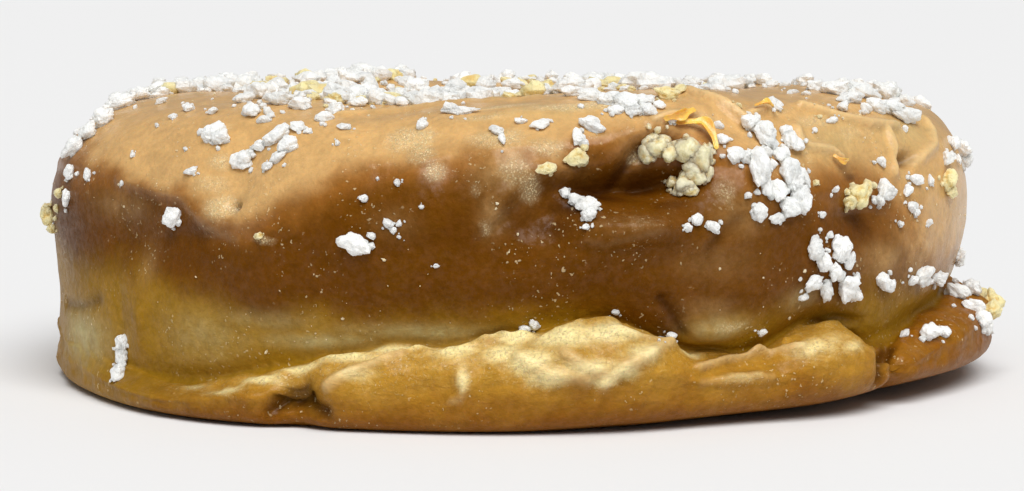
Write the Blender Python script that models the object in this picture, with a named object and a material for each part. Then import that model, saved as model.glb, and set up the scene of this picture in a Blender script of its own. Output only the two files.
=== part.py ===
"""A kinako doughnut: one glazed ring of raised dough with crushed crumble stuck to its crust.

Metres, +Z up. The origin is the middle of the base of the whole thing's box, and the shown side
faces -Y. The ring's own axis is upright and stands a little to the left of the origin, because the
dough's folded lip spreads to the right. Azimuth is in degrees about that axis, from -Y towards +X.
The dough is a closed section, given by named points joined by a smooth curve, carried round the
ring while its sizes swell and shrink. Lumps and hollows are then raised along the surface's own
normal, and the crumble is fused on.
"""

import bmesh
import bpy
import numpy as np
from mathutils import Matrix, Vector

MM = 0.001

# Driving dimensions of the ring
RING_AXIS_X = -1.56 * MM
WALL_RADIUS = 45.2 * MM
HOLE_RADIUS = 12.0 * MM
CROWN_RADIUS = 29.0 * MM
CROWN_HEIGHT = 27.9 * MM
FOOT_OUTER_RADIUS = 37.5 * MM
FOOT_INNER_RADIUS = 23.0 * MM
LIP_RADIUS = 45.8 * MM
LIP_NOSE_HEIGHT = 4.4 * MM

AZIMUTH_STEPS = 84
SEED = 11

# The section's points, in order from the foot outwards, up, over the crown and down the hole
(FOOT_OUT, HEEL, NOSE, LIP_TOP, CREASE, WALL_LOW, WALL, WALL_HIGH, SHOULDER, CROWN_OUT,
 CROWN, CROWN_IN, THROAT_HIGH, THROAT, THROAT_LOW, HEEL_IN, FOOT_IN) = range(17)
SECTION_POINTS = 17
# Rows of faces from each named point to the next
ROWS = (1, 2, 2, 2, 2, 2, 3, 3, 3, 2, 3, 2, 2, 2, 1, 2, 1)

# Swells round the ring: azimuth, spread, amount in millimetres
WALL_SWELLS = ((85, 30, 1.2), (-82, 26, 1.3))
LIP_SWELLS = ((84, 24, 3.8), (8, 22, 0.7), (41, 7, 0.6), (26, 6, -0.6), (190, 40, 0.8), (-38, 12, 1.5))
HEEL_SWELLS = ((5, 30, 0.4),)
CROWN_SWELLS = ((23, 17, 1.3), (-15, 12, -0.6), (-65, 22, 0.3), (62, 20, 0.7))
SHOULDER_SWELLS = ((80, 30, 1.6),)

# Waves round the ring: how many, their phase in degrees, amount in millimetres
WALL_WAVES = (3, 40, 0.3)
CROWN_WAVES = (3, 60, 0.3)
CROWN_PATH_WAVES = (2, -50, 1.2)
HOLE_WAVES = (2, 70, 0.9)

# The height of the folded lip's upper edge round the ring: azimuth, millimetres
LIP_EDGE = (
    (-180, 6.2), (-155, 7.6), (-130, 5.2), (-108, 6.0), (-90, 5.0), (-62, 4.4), (-46, 3.8), (-38, 4.2),
    (-30, 5.6), (-20, 7.4), (-8, 8.6), (3, 9.4), (11, 10.4), (17, 8.6), (24, 6.7), (32, 7.2), (40, 8.8),
    (46, 7.4), (51, 6.0), (60, 6.8), (76, 8.2), (95, 8.6), (118, 7.6), (138, 5.6), (160, 7.2),
)
# How far the crease above the lip goes in: azimuth, millimetres
LIP_FOLD = (
    (-180, 1.3), (-150, 1.8), (-118, 0.6), (-90, 0.1), (-60, 0.1), (-46, 0.5), (-36, 1.3), (-18, 1.9),
    (0, 2.3), (20, 2.2), (41, 2.4), (52, 1.5), (70, 1.6), (92, 2.0), (120, 1.4), (150, 1.9),
)
# How far the underside's rim lifts off the table: azimuth, millimetres
RIM_LIFT = (
    (-180, 0.6), (-140, 0.2), (-90, 0.1), (-40, 0.0), (-20, 0.0), (0, 0.1), (12, 0.6), (30, 1.0), (50, 1.8),
    (75, 1.9), (95, 2.6), (120, 1.8), (150, 1.0),
)

# Lumps and hollows of the outside: azimuth, height, half-width round the ring, half-height, rise
WALL_LUMPS = (
    (-64, 20.5, 9.5, 5.5, 1.2),
    (-47, 15.6, 8.0, 2.6, -0.9),
    (-33, 22.5, 3.0, 5.0, -1.0),
    (-15, 21.5, 8.5, 5.0, 0.8),
    (0, 23.0, 4.5, 3.0, 1.1),
    (16, 21.9, 5.6, 2.0, -3.1),
    (5, 19.2, 3.0, 2.2, -1.3),
    (14, 17.2, 5.0, 1.9, 1.7),
    (29, 20.5, 4.6, 5.5, 0.9),
    (48, 17.6, 5.0, 2.8, -0.8),
    (70, 22.5, 8.0, 3.5, 0.8),
    (-23, 2.0, 1.8, 2.2, -1.6),
    (50.5, 3.5, 1.4, 3.0, -1.2),
    (12, 5.5, 6.5, 3.0, 0.8),
    (41, 4.5, 5.0, 3.0, 0.7),
    (25, 8.6, 3.0, 1.1, 1.1),
)
# Lumps and hollows of the side that doesn't show come by turns over this stretch of azimuth
BACK_LUMPS = 13
BACK_FROM, BACK_TO = 96, 262

# Crumble that shows as single pieces: azimuth, height, half-length, half-width, turn from level
SHOWN_CRUMBS = (
    (20.2, 22.9, 3.1, 1.7, -48), (29.5, 25.0, 1.9, 1.2, -50), (28.6, 21.6, 2.5, 1.6, -70),
    (33.6, 21.9, 2.1, 1.5, 60), (34.6, 19.0, 1.7, 1.4, 10), (39.0, 14.6, 2.0, 1.3, 85),
    (42.6, 14.2, 2.1, 1.2, 70), (39.8, 11.6, 2.0, 1.3, 10), (45.9, 19.6, 1.5, 1.2, 80),
    (50.6, 19.8, 1.5, 1.2, 20), (50.9, 11.5, 1.1, 0.9, 70), (62.0, 11.3, 1.9, 1.1, 0),
    (59.5, 5.9, 1.7, 1.1, 10), (76.0, 9.0, 1.8, 1.2, 60), (82.0, 6.2, 2.2, 1.4, -55),
    (96.0, 7.2, 2.0, 1.6, 20), (88.0, 10.0, 1.8, 1.3, 60), (90.0, 4.6, 1.9, 1.4, 40),
    (74.0, 20.6, 1.9, 1.3, 80), (78.0, 23.4, 1.8, 1.2, 15), (22.4, 18.1, 1.7, 1.0, 0),
    (9.6, 21.8, 1.6, 0.9, -50), (-16.5, 16.5, 1.5, 1.3, 50), (-41.5, 17.9, 1.3, 1.1, -40),
    (-52.8, 4.3, 2.3, 1.0, 80), (-88.0, 15.4, 1.7, 1.6, 80), (-33.5, 23.0, 1.7, 1.1, -40),
    (-27.0, 24.4, 2.0, 1.2, 35), (58.5, 20.3, 1.2, 0.8, 10),
)
# Crumble strewn over the crown: how many are tried, how near two may lie, and where they fall
CROWN_TRIES = 150
MOST_CRUMBS = 92
CROWN_GAP = 3.6 * MM
CROWN_CRUMB = 1.75 * MM
STREWN_INWARD = 9.0 * MM
STREWN_OUTWARD = 13.5 * MM
GOLDEN_ANGLE = 137.508
# How much of a crumb's half-thickness stands above the crust, and how uneven its faces are
CRUMB_LIFT = 0.34
CRUMB_DENTS = (0.82, 1.12)
CRUMB_FLATNESS = 0.8


def swells(table, azimuth):
    """The sum of smooth rises, each full at its own azimuth and 0.6 of that at one spread away."""
    total = np.zeros_like(azimuth)
    for centre, spread, amount in table:
        away = (azimuth - centre + 180) % 360 - 180
        total = total + amount * MM * np.exp(-0.5 * (away / spread) ** 2)
    return total


def waves(wave, azimuth):
    """Even waves round the ring."""
    count, phase, amount = wave
    return amount * MM * np.cos(np.radians(count * azimuth + phase))


def catmull_rom(values, first, share):
    """The closed Catmull-Rom curve through the values, a given share of the way past the first one."""
    count = len(values)
    before, here, after, beyond = (values[(first + step) % count] for step in (-1, 0, 1, 2))
    return 0.5 * (
        2 * here
        + (after - before) * share
        + (2 * before - 5 * here + 4 * after - beyond) * share**2
        + (3 * here - before - 3 * after + beyond) * share**3
    )


def round_the_ring(table, azimuth):
    """A smooth closed curve through the table's values, read at the given azimuths."""
    stops, values = np.array(table, float).T
    spans = np.diff(np.append(stops, stops[0] + 360))
    past = (azimuth - stops[0]) % 360
    first = np.searchsorted(stops - stops[0], past, side="right") - 1
    share = (past - (stops[first] - stops[0])) / spans[first]
    return catmull_rom(values, first, share) * MM


def section(azimuth):
    """The radius and the height of each named point of the section at the azimuths."""
    level = np.zeros_like(azimuth)
    wall = WALL_RADIUS + swells(WALL_SWELLS, azimuth) + waves(WALL_WAVES, azimuth)
    crown = CROWN_HEIGHT + swells(CROWN_SWELLS, azimuth) + waves(CROWN_WAVES, azimuth)
    path = CROWN_RADIUS + waves(CROWN_PATH_WAVES, azimuth)
    square = swells(SHOULDER_SWELLS, azimuth)
    hole = HOLE_RADIUS + waves(HOLE_WAVES, azimuth)
    lip = LIP_RADIUS + swells(LIP_SWELLS, azimuth)
    lift = np.maximum(round_the_ring(RIM_LIFT, azimuth), 0.0)
    edge = round_the_ring(LIP_EDGE, azimuth)
    fold = round_the_ring(LIP_FOLD, azimuth)
    nose = np.minimum(LIP_NOSE_HEIGHT, 0.55 * edge) + 0.4 * lift
    points = {
        FOOT_OUT: (FOOT_OUTER_RADIUS + level, level),
        HEEL: (lip - 1.0 * MM - swells(HEEL_SWELLS, azimuth), 0.15 * MM + lift),
        NOSE: (lip, nose),
        LIP_TOP: (lip - 0.45 * fold, edge - 0.9 * MM),
        CREASE: (wall - fold, edge + 0.4 * MM),
        WALL_LOW: (wall - 0.5 * fold, edge + 2.8 * MM),
        WALL: (wall, 0.5 * edge + 10.5 * MM),
        WALL_HIGH: (wall - 0.8 * MM + 0.4 * square, 0.7 * crown),
        SHOULDER: (wall - 4.6 * MM + square, 0.9 * crown),
        CROWN_OUT: (path + 7.8 * MM + 0.4 * square, crown - 0.5 * MM),
        CROWN: (path, crown),
        CROWN_IN: (path - 7.6 * MM, crown - 1.7 * MM),
        THROAT_HIGH: (hole + 3.3 * MM, 0.7 * crown),
        THROAT: (hole, 0.45 * crown),
        THROAT_LOW: (hole + 1.4 * MM, 0.2 * crown),
        HEEL_IN: (hole + 5.0 * MM, 1.3 * MM + level),
        FOOT_IN: (FOOT_INNER_RADIUS + level, level),
    }
    radii, heights = zip(*(points[name] for name in range(SECTION_POINTS)))
    return np.array(radii), np.array(heights)


def bare_surface(azimuth, place):
    """Points of the ring without its lumps: one row for each place along the section."""
    radii, heights = section(azimuth)
    first = np.floor(place).astype(int)
    share = (place - first)[:, None]
    radius = catmull_rom(radii, first, share)
    height = np.maximum(catmull_rom(heights, first, share), 0.0)
    turn = np.radians(azimuth)
    return np.stack((RING_AXIS_X + radius * np.sin(turn), -radius * np.cos(turn), height), axis=-1)


def surface_normals(grid):
    """Outward normals of a grid that closes on itself both ways."""
    along = np.roll(grid, -1, axis=1) - np.roll(grid, 1, axis=1)
    up = np.roll(grid, -1, axis=0) - np.roll(grid, 1, axis=0)
    normals = np.cross(along, up)
    return normals / np.linalg.norm(normals, axis=-1, keepdims=True)


def place_at_height(azimuth, height):
    """Where the outside of the section, from its nose to its crown, reaches a height."""
    tries = np.linspace(NOSE, CROWN, 400)
    rise = bare_surface(np.array([float(azimuth)]), tries)[:, 0, 2]
    return float(np.interp(height, np.maximum.accumulate(rise), tries))


def place_at_radius(azimuth, radius):
    """Where the top of the section, from its shoulder to its throat, reaches a radius."""
    tries = np.linspace(SHOULDER, THROAT_HIGH, 400)
    spot = bare_surface(np.array([float(azimuth)]), tries)[:, 0]
    reach = np.hypot(spot[:, 0] - RING_AXIS_X, spot[:, 1])
    return float(np.interp(-radius, -reach, tries))


def back_lumps():
    """Lumps and hollows by turns round the side that doesn't show, at drawn places and sizes."""
    draw = np.random.default_rng(SEED)
    lumps = []
    for index in range(BACK_LUMPS):
        azimuth = BACK_FROM + (BACK_TO - BACK_FROM) * (index + draw.uniform(0.2, 0.8)) / BACK_LUMPS
        rise = draw.uniform(0.7, 1.5) if index % 2 else -draw.uniform(0.8, 1.7)
        lumps.append((azimuth, draw.uniform(15, 23), draw.uniform(3.5, 7), draw.uniform(2, 5), rise))
    return lumps


def lump_rise(bare, azimuth, height, half_round, half_up, amount):
    """How far one lump raises each point of the bare grid: a bell about its own middle."""
    middle = bare_surface(np.array([float(azimuth)]), np.array([place_at_height(azimuth, height * MM)]))
    away = bare - middle[0, 0]
    turn = np.radians(azimuth)
    level = np.array((np.cos(turn), np.sin(turn), 0.0))
    beside = away @ level
    above = np.linalg.norm(away - beside[..., None] * level, axis=-1)
    return amount * MM * np.exp(-((beside / half_round / MM) ** 2 + (above / half_up / MM) ** 2))


def surface(azimuth, place):
    """The ring's points with lumps and hollows raised along its normals, and its foot kept flat."""
    bare = bare_surface(azimuth, place)
    rise = sum(lump_rise(bare, *lump) for lump in (*WALL_LUMPS, *back_lumps()))
    grid = bare + surface_normals(bare) * rise[..., None]
    grid[..., 2] = np.maximum(grid[..., 2], 0.0)
    return np.where(bare[..., 2:] > 0.0, grid, bare)


def ring_object(name):
    """The ring as an object of quads between neighbouring points of its grid."""
    azimuth = np.arange(AZIMUTH_STEPS) * 360.0 / AZIMUTH_STEPS - 180.0
    places = np.concatenate([point + np.arange(rows) / rows for point, rows in enumerate(ROWS)])
    shape = bmesh.new()
    rows = [[shape.verts.new(point) for point in row] for row in surface(azimuth, places)]
    for lower, upper in zip(rows, rows[1:] + rows[:1]):
        for here in range(AZIMUTH_STEPS):
            beside = (here + 1) % AZIMUTH_STEPS
            shape.faces.new((lower[here], lower[beside], upper[beside], upper[here]))
    mesh = bpy.data.meshes.new(name)
    shape.to_mesh(mesh)
    shape.free()
    mesh.shade_smooth()
    ring = bpy.data.objects.new(name, mesh)
    bpy.context.scene.collection.objects.link(ring)
    return ring


def seat_on_crust(azimuth, place):
    """A point of the crust, and a frame there: round the ring, up the section and outwards."""
    patch = surface(azimuth + np.array((-1.0, 0.0, 1.0)), place + np.array((-0.1, 0.0, 0.1)))
    along = Vector(patch[1, 2] - patch[1, 0]).normalized()
    outward = along.cross(Vector(patch[2, 1] - patch[0, 1])).normalized()
    return Vector(patch[1, 1]), Matrix((along, outward.cross(along), outward)).transposed()


def add_crumb(collection, draw, spot, frame, half_length, half_width, turn, subdivisions):
    """One crumb: a dented ball, longer than wide, bedded in the crust."""
    half_thickness = CRUMB_FLATNESS * half_width
    spin = Matrix.Rotation(np.radians(turn), 3, "Z")
    lift = Vector((0.0, 0.0, CRUMB_LIFT * half_thickness))
    shape = bmesh.new()
    bmesh.ops.create_icosphere(shape, subdivisions=subdivisions, radius=1.0)
    for vertex in shape.verts:
        x, y, z = vertex.co * draw.uniform(*CRUMB_DENTS)
        sized = Vector((x * half_length, y * half_width, z * half_thickness))
        vertex.co = spot + frame @ (spin @ sized + lift)
    mesh = bpy.data.meshes.new("crumb")
    shape.to_mesh(mesh)
    shape.free()
    collection.objects.link(bpy.data.objects.new("crumb", mesh))


def strew_crumble(collection):
    """The shown crumbs, then more over the crown at even gaps by the golden angle."""
    draw = np.random.default_rng(SEED)
    spots = []
    for azimuth, height, half_length, half_width, turn in SHOWN_CRUMBS:
        spot, frame = seat_on_crust(azimuth, place_at_height(azimuth, height * MM))
        add_crumb(collection, draw, spot, frame, half_length * MM, half_width * MM, turn, 2)
        spots.append(spot)
    for index in range(CROWN_TRIES):
        azimuth = index * GOLDEN_ANGLE % 360 - 180
        radius = CROWN_RADIUS + draw.uniform(-STREWN_INWARD, STREWN_OUTWARD)
        size = CROWN_CRUMB * draw.uniform(0.75, 1.25)
        turn = draw.uniform(0, 180)
        spot, frame = seat_on_crust(azimuth, place_at_radius(azimuth, radius))
        if len(spots) < MOST_CRUMBS and all((spot - other).length > CROWN_GAP for other in spots):
            add_crumb(collection, draw, spot, frame, 1.25 * size, size, turn, 1)
            spots.append(spot)


def fuse(ring, collection):
    """Joins the collection's crumbs to the ring in one union, and removes them."""
    union = ring.modifiers.new("crumble", "BOOLEAN")
    union.operation = "UNION"
    union.operand_type = "COLLECTION"
    union.collection = collection
    graph = bpy.context.evaluated_depsgraph_get()
    joined = bpy.data.meshes.new_from_object(ring.evaluated_get(graph))
    ring.modifiers.clear()
    ring.data = joined
    for crumb in list(collection.objects):
        bpy.data.objects.remove(crumb)
    bpy.data.collections.remove(collection)


def glazed_crust():
    """The caramel-brown sugar glaze over fried dough."""
    material = bpy.data.materials.new("glazed_crust")
    material.use_nodes = True
    shader = material.node_tree.nodes["Principled BSDF"]
    shader.inputs["Base Color"].default_value = (0.50, 0.28, 0.10, 1.0)
    shader.inputs["Roughness"].default_value = 0.38
    shader.inputs["Metallic"].default_value = 0.0
    return material


def main():
    for old in list(bpy.data.objects):
        bpy.data.objects.remove(old)
    doughnut = ring_object("doughnut")
    crumble = bpy.data.collections.new("crumble")
    bpy.context.scene.collection.children.link(crumble)
    strew_crumble(crumble)
    fuse(doughnut, crumble)
    doughnut.data.materials.clear()
    doughnut.data.materials.append(glazed_crust())


main()
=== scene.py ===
import functools
import itertools
import math
from collections import namedtuple

import bpy
import numpy as np
from bpy.props import FloatProperty, FloatVectorProperty, IntProperty, PointerProperty
from bpy.types import Operator, Panel, PropertyGroup
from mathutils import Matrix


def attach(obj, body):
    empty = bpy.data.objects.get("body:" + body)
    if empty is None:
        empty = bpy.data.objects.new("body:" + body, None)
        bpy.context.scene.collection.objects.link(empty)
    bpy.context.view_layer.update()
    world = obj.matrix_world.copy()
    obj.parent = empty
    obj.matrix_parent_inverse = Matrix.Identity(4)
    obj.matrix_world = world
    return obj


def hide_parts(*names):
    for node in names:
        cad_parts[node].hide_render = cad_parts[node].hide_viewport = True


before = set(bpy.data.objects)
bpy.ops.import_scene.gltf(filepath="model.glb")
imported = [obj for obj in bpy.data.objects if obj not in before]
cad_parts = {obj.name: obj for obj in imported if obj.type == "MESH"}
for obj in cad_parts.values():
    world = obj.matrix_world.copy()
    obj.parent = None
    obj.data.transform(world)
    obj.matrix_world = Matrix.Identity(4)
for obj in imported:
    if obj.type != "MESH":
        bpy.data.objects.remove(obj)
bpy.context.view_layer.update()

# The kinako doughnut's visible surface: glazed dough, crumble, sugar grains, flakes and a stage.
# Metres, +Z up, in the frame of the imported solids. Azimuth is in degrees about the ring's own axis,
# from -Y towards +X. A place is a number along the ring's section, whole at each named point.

bl_info = {
    "name": "Kinako doughnut",
    "version": (1, 0, 0),
    "blender": (4, 5, 0),
    "location": "View3D > Sidebar > Doughnut",
    "description": "A glazed ring doughnut with crumble, built round its solid",
    "category": "Mesh",
}

MM = 0.001

# The ring's own axis, where the solid has it
RING_AXIS_X = -1.56 * MM

# The section's points, in order from the foot outwards, up, over the crown and down the hole
(FOOT_OUT, HEEL, NOSE, LIP_TOP, CREASE, WALL_LOW, WALL, WALL_HIGH, SHOULDER, CROWN_OUT,
 CROWN, CROWN_IN, THROAT_HIGH, THROAT, THROAT_LOW, HEEL_IN, FOOT_IN) = range(17)
SECTION_POINTS = 17
# Rows of faces from each named point to the next
ROWS = (4, 8, 14, 18, 20, 14, 18, 20, 16, 12, 10, 7, 6, 4, 4, 4, 3)
# Columns of faces on the shown side, between these azimuths, and on the back
FRONT_FROM, FRONT_TO = -104.0, 104.0
FRONT_COLUMNS, BACK_COLUMNS = 440, 108

# Swells round the ring: azimuth, spread, amount in millimetres
WALL_SWELLS = ((85, 30, 1.2), (-82, 26, 1.3))
LIP_SWELLS = ((84, 24, 3.8), (8, 22, 0.7), (41, 7, 0.6), (26, 6, -0.6), (190, 40, 0.8), (-38, 12, 1.5))
HEEL_SWELLS = ((5, 30, 0.4),)
CROWN_SWELLS = ((23, 17, 1.3), (-15, 12, -0.6), (-65, 22, 0.3), (62, 20, 0.7))
SHOULDER_SWELLS = ((80, 30, 1.6),)

# Waves round the ring: how many, their phase in degrees, amount in millimetres
WALL_WAVES = (3, 40, 0.3)
CROWN_WAVES = (3, 60, 0.3)
CROWN_PATH_WAVES = (2, -50, 1.2)
HOLE_WAVES = (2, 70, 0.9)

# The height of the folded lip's upper edge round the ring: azimuth, millimetres
LIP_EDGE = (
    (-180, 6.2), (-155, 7.6), (-130, 5.2), (-108, 6.0), (-90, 5.0), (-62, 4.1), (-46, 2.9), (-38, 2.9),
    (-30, 4.2), (-20, 6.0), (-8, 7.2), (3, 8.3), (11, 9.5), (17, 8.0), (24, 6.1), (32, 6.0), (40, 7.9),
    (46, 6.6), (51, 5.4), (60, 6.6), (76, 8.2), (95, 8.6), (118, 7.6), (138, 5.6), (160, 7.2),
)
# How far the crease above the lip goes in: azimuth, millimetres
LIP_FOLD = (
    (-180, 1.3), (-150, 1.8), (-118, 0.6), (-90, 0.1), (-60, 0.1), (-46, 0.5), (-36, 1.3), (-18, 1.9),
    (0, 2.3), (20, 2.2), (41, 2.4), (52, 1.5), (70, 1.6), (92, 2.0), (120, 1.4), (150, 1.9),
)
# How far the underside's rim lifts off the table: azimuth, millimetres
RIM_LIFT = (
    (-180, 0.6), (-140, 0.2), (-90, 0.1), (-40, 0.0), (-20, 0.0), (0, 0.1), (12, 0.6), (30, 1.0), (50, 1.8),
    (75, 1.9), (95, 2.6), (120, 1.8), (150, 1.0),
)
# Where the pale, thick glaze of the top ends and the brown wall starts: azimuth, millimetres of height
# Above that edge the glaze is painted paler and below it darker: partly thicker glaze, partly painted light
# on the top and painted shade down the wall
LIGHT_EDGE = (
    (-180, 17.0), (-150, 20.0), (-125, 15.5), (-105, 19.0), (-90, 20.5), (-72, 20.8), (-57, 21.0),
    (-46, 19.8), (-40, 19.6), (-35, 17.4), (-30, 17.4), (-25, 19.3), (-18, 22.0), (-9, 22.9), (0, 23.5),
    (8, 24.0), (15, 24.4), (23, 24.2), (30, 21.5), (38, 20.0), (48, 19.4), (56, 15.5), (64, 11.4),
    (78, 10.0), (95, 13.0), (115, 18.0), (140, 15.0), (160, 19.5),
)
# Where that edge is sharp: azimuth, spread, strength
SHARP_STRETCHES = ((-48, 14, 0.6), (0, 18, 0.6))
# Where the brown of the wall gives way to the pale, unbrowned band: azimuth, millimetres of height
BAND_TOP = (
    (-180, 11.0), (-150, 12.5), (-120, 10.0), (-95, 13.5), (-72, 14.2), (-58, 13.4), (-46, 12.6),
    (-36, 11.4), (-28, 9.6), (-15, 9.8), (0, 10.2), (10, 10.4), (18, 8.6), (30, 9.4), (42, 9.6),
    (55, 10.4), (70, 11.5), (95, 11.0), (120, 12.5), (150, 10.5),
)

# Lumps and hollows of the wall: azimuth, then height, half-width, half-height and rise in millimetres
WALL_LUMPS = (
    (-64, 20.5, 9.5, 5.5, 1.2),
    (-86, 8.0, 13.0, 6.0, -0.8),
    (-47, 15.6, 8.0, 2.6, -0.9),
    (-33, 22.5, 3.0, 5.0, -1.0),
    (-15, 21.5, 8.5, 5.0, 0.8),
    (0, 23.0, 4.5, 3.0, 1.1),
    (16, 21.9, 5.6, 2.0, -3.1),
    (5, 19.2, 3.0, 2.2, -1.3),
    (14, 17.2, 5.0, 1.9, 1.7),
    (29, 20.5, 4.6, 5.5, 0.9),
    (48, 17.6, 5.0, 2.8, -0.8),
    (70, 22.5, 8.0, 3.5, 0.8),
    (-23, 2.0, 1.8, 2.2, -1.6),
    (50.5, 3.5, 1.4, 3.0, -1.2),
    (12, 5.5, 6.5, 3.0, 0.8),
    (41, 4.5, 5.0, 3.0, 0.7),
    (25, 8.6, 3.0, 1.1, 1.1),
)
BACK_LUMPS = 13
BACK_FROM, BACK_TO = 96, 262
BACK_SEED = 11

# The photograph's frame, and the focal length and the horizon of the eye that fits it, in pixels
PHOTO_WIDTH, PHOTO_HEIGHT = 1024, 491
EYE_FOCAL = 2680.0
EYE_HORIZON = -13.0

# Steps of azimuth and of place for a surface's slopes, and places tried for a height or a radius
ROUND_STEP = 0.12
PLACE_STEP = 0.012
PLACE_TRIES = 240
# How close together the points lie that a pixel is looked for among, in azimuth and in place
CLOSE_ROUND = 0.6
CLOSE_ALONG = 0.025
# How close to a pixel of the photograph a point of the crust has to show, in pixels
PIXEL_REACH = 3.0
# The narrowest that a patch on the turned-away sides is taken to show, as a share of its real width
LEAST_TURN = 0.35

# Patches on the crust, by the photograph's pixels: across, down, half-width, half-height, strength
TAN_PATCHES = (
    (118, 206, 28, 14, 0.35),
    (144, 278, 10, 30, 0.35),
    (137, 340, 9, 34, 0.3),
    (634, 226, 44, 11, 0.1),
    (430, 126, 46, 14, 0.6),
    (510, 118, 50, 16, 0.8),
    (580, 122, 50, 18, 0.8),
    (640, 122, 20, 10, 0.6),
    (716, 262, 40, 22, 0.15),
    (706, 308, 26, 9, 0.25),
    (740, 215, 26, 22, 0.3),
    (925, 240, 24, 36, 0.8),
    (885, 262, 26, 18, 0.5),
    (800, 300, 24, 14, 0.2),
    (395, 222, 22, 14, 0.2),
    (632, 150, 18, 12, 0.3),
    (505, 162, 26, 30, 0.6),
    (490, 214, 13, 18, 0.45),
    (548, 158, 30, 12, 0.5),
)
PALE_PATCHES = (
    (82, 338, 26, 26, 1.0),
    (205, 340, 40, 26, 0.45),
    (262, 322, 70, 11, 0.35),
    (330, 344, 70, 9, 0.8),
    (430, 336, 80, 9, 0.9),
    (720, 330, 30, 12, 0.5),
    (800, 300, 20, 12, 0.35),
    (905, 134, 30, 20, 0.45),
    (830, 140, 34, 22, 0.5),
    (540, 112, 60, 12, 0.3),
)
# Dark patches, partly browned crust and partly painted shade in hollows, pits, the crease and under bulges
BROWN_AND_SHADE_PATCHES = (
    (642, 186, 34, 13, 0.85),
    (606, 196, 24, 14, 0.85),
    (572, 204, 24, 15, 0.9),
    (550, 226, 26, 14, 0.7),
    (520, 222, 26, 20, 0.4),
    (668, 203, 20, 6, 0.6),
    (703, 151, 8, 6, 0.5),
    (155, 206, 38, 13, 0.3),
    (200, 230, 26, 10, 0.35),
    (842, 322, 38, 10, 0.3),
    (297, 404, 17, 13, 0.85),
    (80, 306, 16, 4, 0.25),
    (672, 322, 12, 14, 0.4),
    (862, 222, 18, 13, 0.5),
    (237, 207, 5, 5, 0.9),
    (903, 158, 8, 6, 0.8),
    (851, 176, 7, 4, 0.8),
    (170, 388, 70, 20, 0.4),
    (80, 270, 30, 26, 0.2),
    (70, 240, 18, 50, 0.25),
    (450, 236, 80, 22, 0.3),
)
FROST_PATCHES = (
    (222, 160, 16, 14, 0.7),
    (224, 205, 22, 14, 1.0),
    (212, 184, 22, 14, 0.7),
    (230, 128, 14, 12, 0.5),
    (412, 138, 30, 22, 0.9),
    (422, 154, 18, 18, 0.9),
    (436, 170, 14, 14, 0.9),
    (500, 140, 34, 20, 0.9),
    (512, 172, 24, 24, 0.7),
    (478, 190, 10, 14, 0.5),
    (484, 226, 10, 12, 0.5),
    (530, 188, 16, 18, 0.7),
    (510, 107, 44, 9, 0.9),
    (560, 108, 50, 12, 0.9),
    (600, 104, 52, 12, 0.9),
    (480, 118, 40, 8, 0.7),
    (545, 150, 30, 14, 0.7),
    (262, 240, 16, 6, 0.7),
    (700, 122, 24, 16, 0.6),
    (632, 221, 46, 12, 0.4),
    (610, 238, 24, 8, 0.3),
    (725, 190, 16, 24, 0.5),
    (728, 330, 28, 8, 0.6),
    (815, 122, 26, 10, 0.7),
    (850, 132, 40, 14, 0.5),
    (800, 150, 10, 20, 0.5),
    (640, 152, 16, 10, 0.6),
    (770, 110, 30, 10, 0.5),
)
# Lumps and hollows that the solid leaves out, by the same pixels, with their rise in millimetres
FINE_LUMPS = (
    (645, 184, 42, 9, -1.3),
    (590, 190, 24, 8, -0.8),
    (560, 176, 34, 9, 0.5),
    (505, 200, 20, 10, 0.5),
    (632, 252, 42, 6, -0.6),
    (640, 150, 20, 9, -0.7),
    (634, 224, 46, 9, 0.9),
    (655, 262, 40, 12, -0.4),
    (716, 240, 26, 16, 0.4),
    (237, 207, 6, 6, -1.6),
    (226, 212, 22, 12, 0.5),
    (903, 158, 9, 7, -1.9),
    (420, 176, 22, 26, 0.3),
    (205, 238, 40, 8, -0.4),
    (842, 322, 36, 7, -0.6),
    (297, 410, 16, 18, -1.1),
    (138, 330, 9, 40, 0.35),
    (118, 330, 6, 40, -0.35),
    (860, 214, 26, 10, -0.6),
    (560, 356, 50, 16, 0.6),
    (618, 384, 14, 12, -0.4),
    (640, 362, 14, 9, 0.35),
    (690, 392, 40, 10, -0.3),
    (745, 378, 34, 8, 0.4),
    (800, 350, 40, 14, 0.4),
    (850, 366, 16, 12, -0.3),
    (450, 362, 30, 14, 0.4),
    (420, 392, 20, 10, -0.3),
    (390, 366, 16, 12, 0.3),
    (500, 398, 26, 8, 0.3),
    (345, 396, 18, 14, 0.4),
    (250, 402, 30, 8, 0.3),
    (915, 250, 30, 26, 0.4),
)

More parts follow.
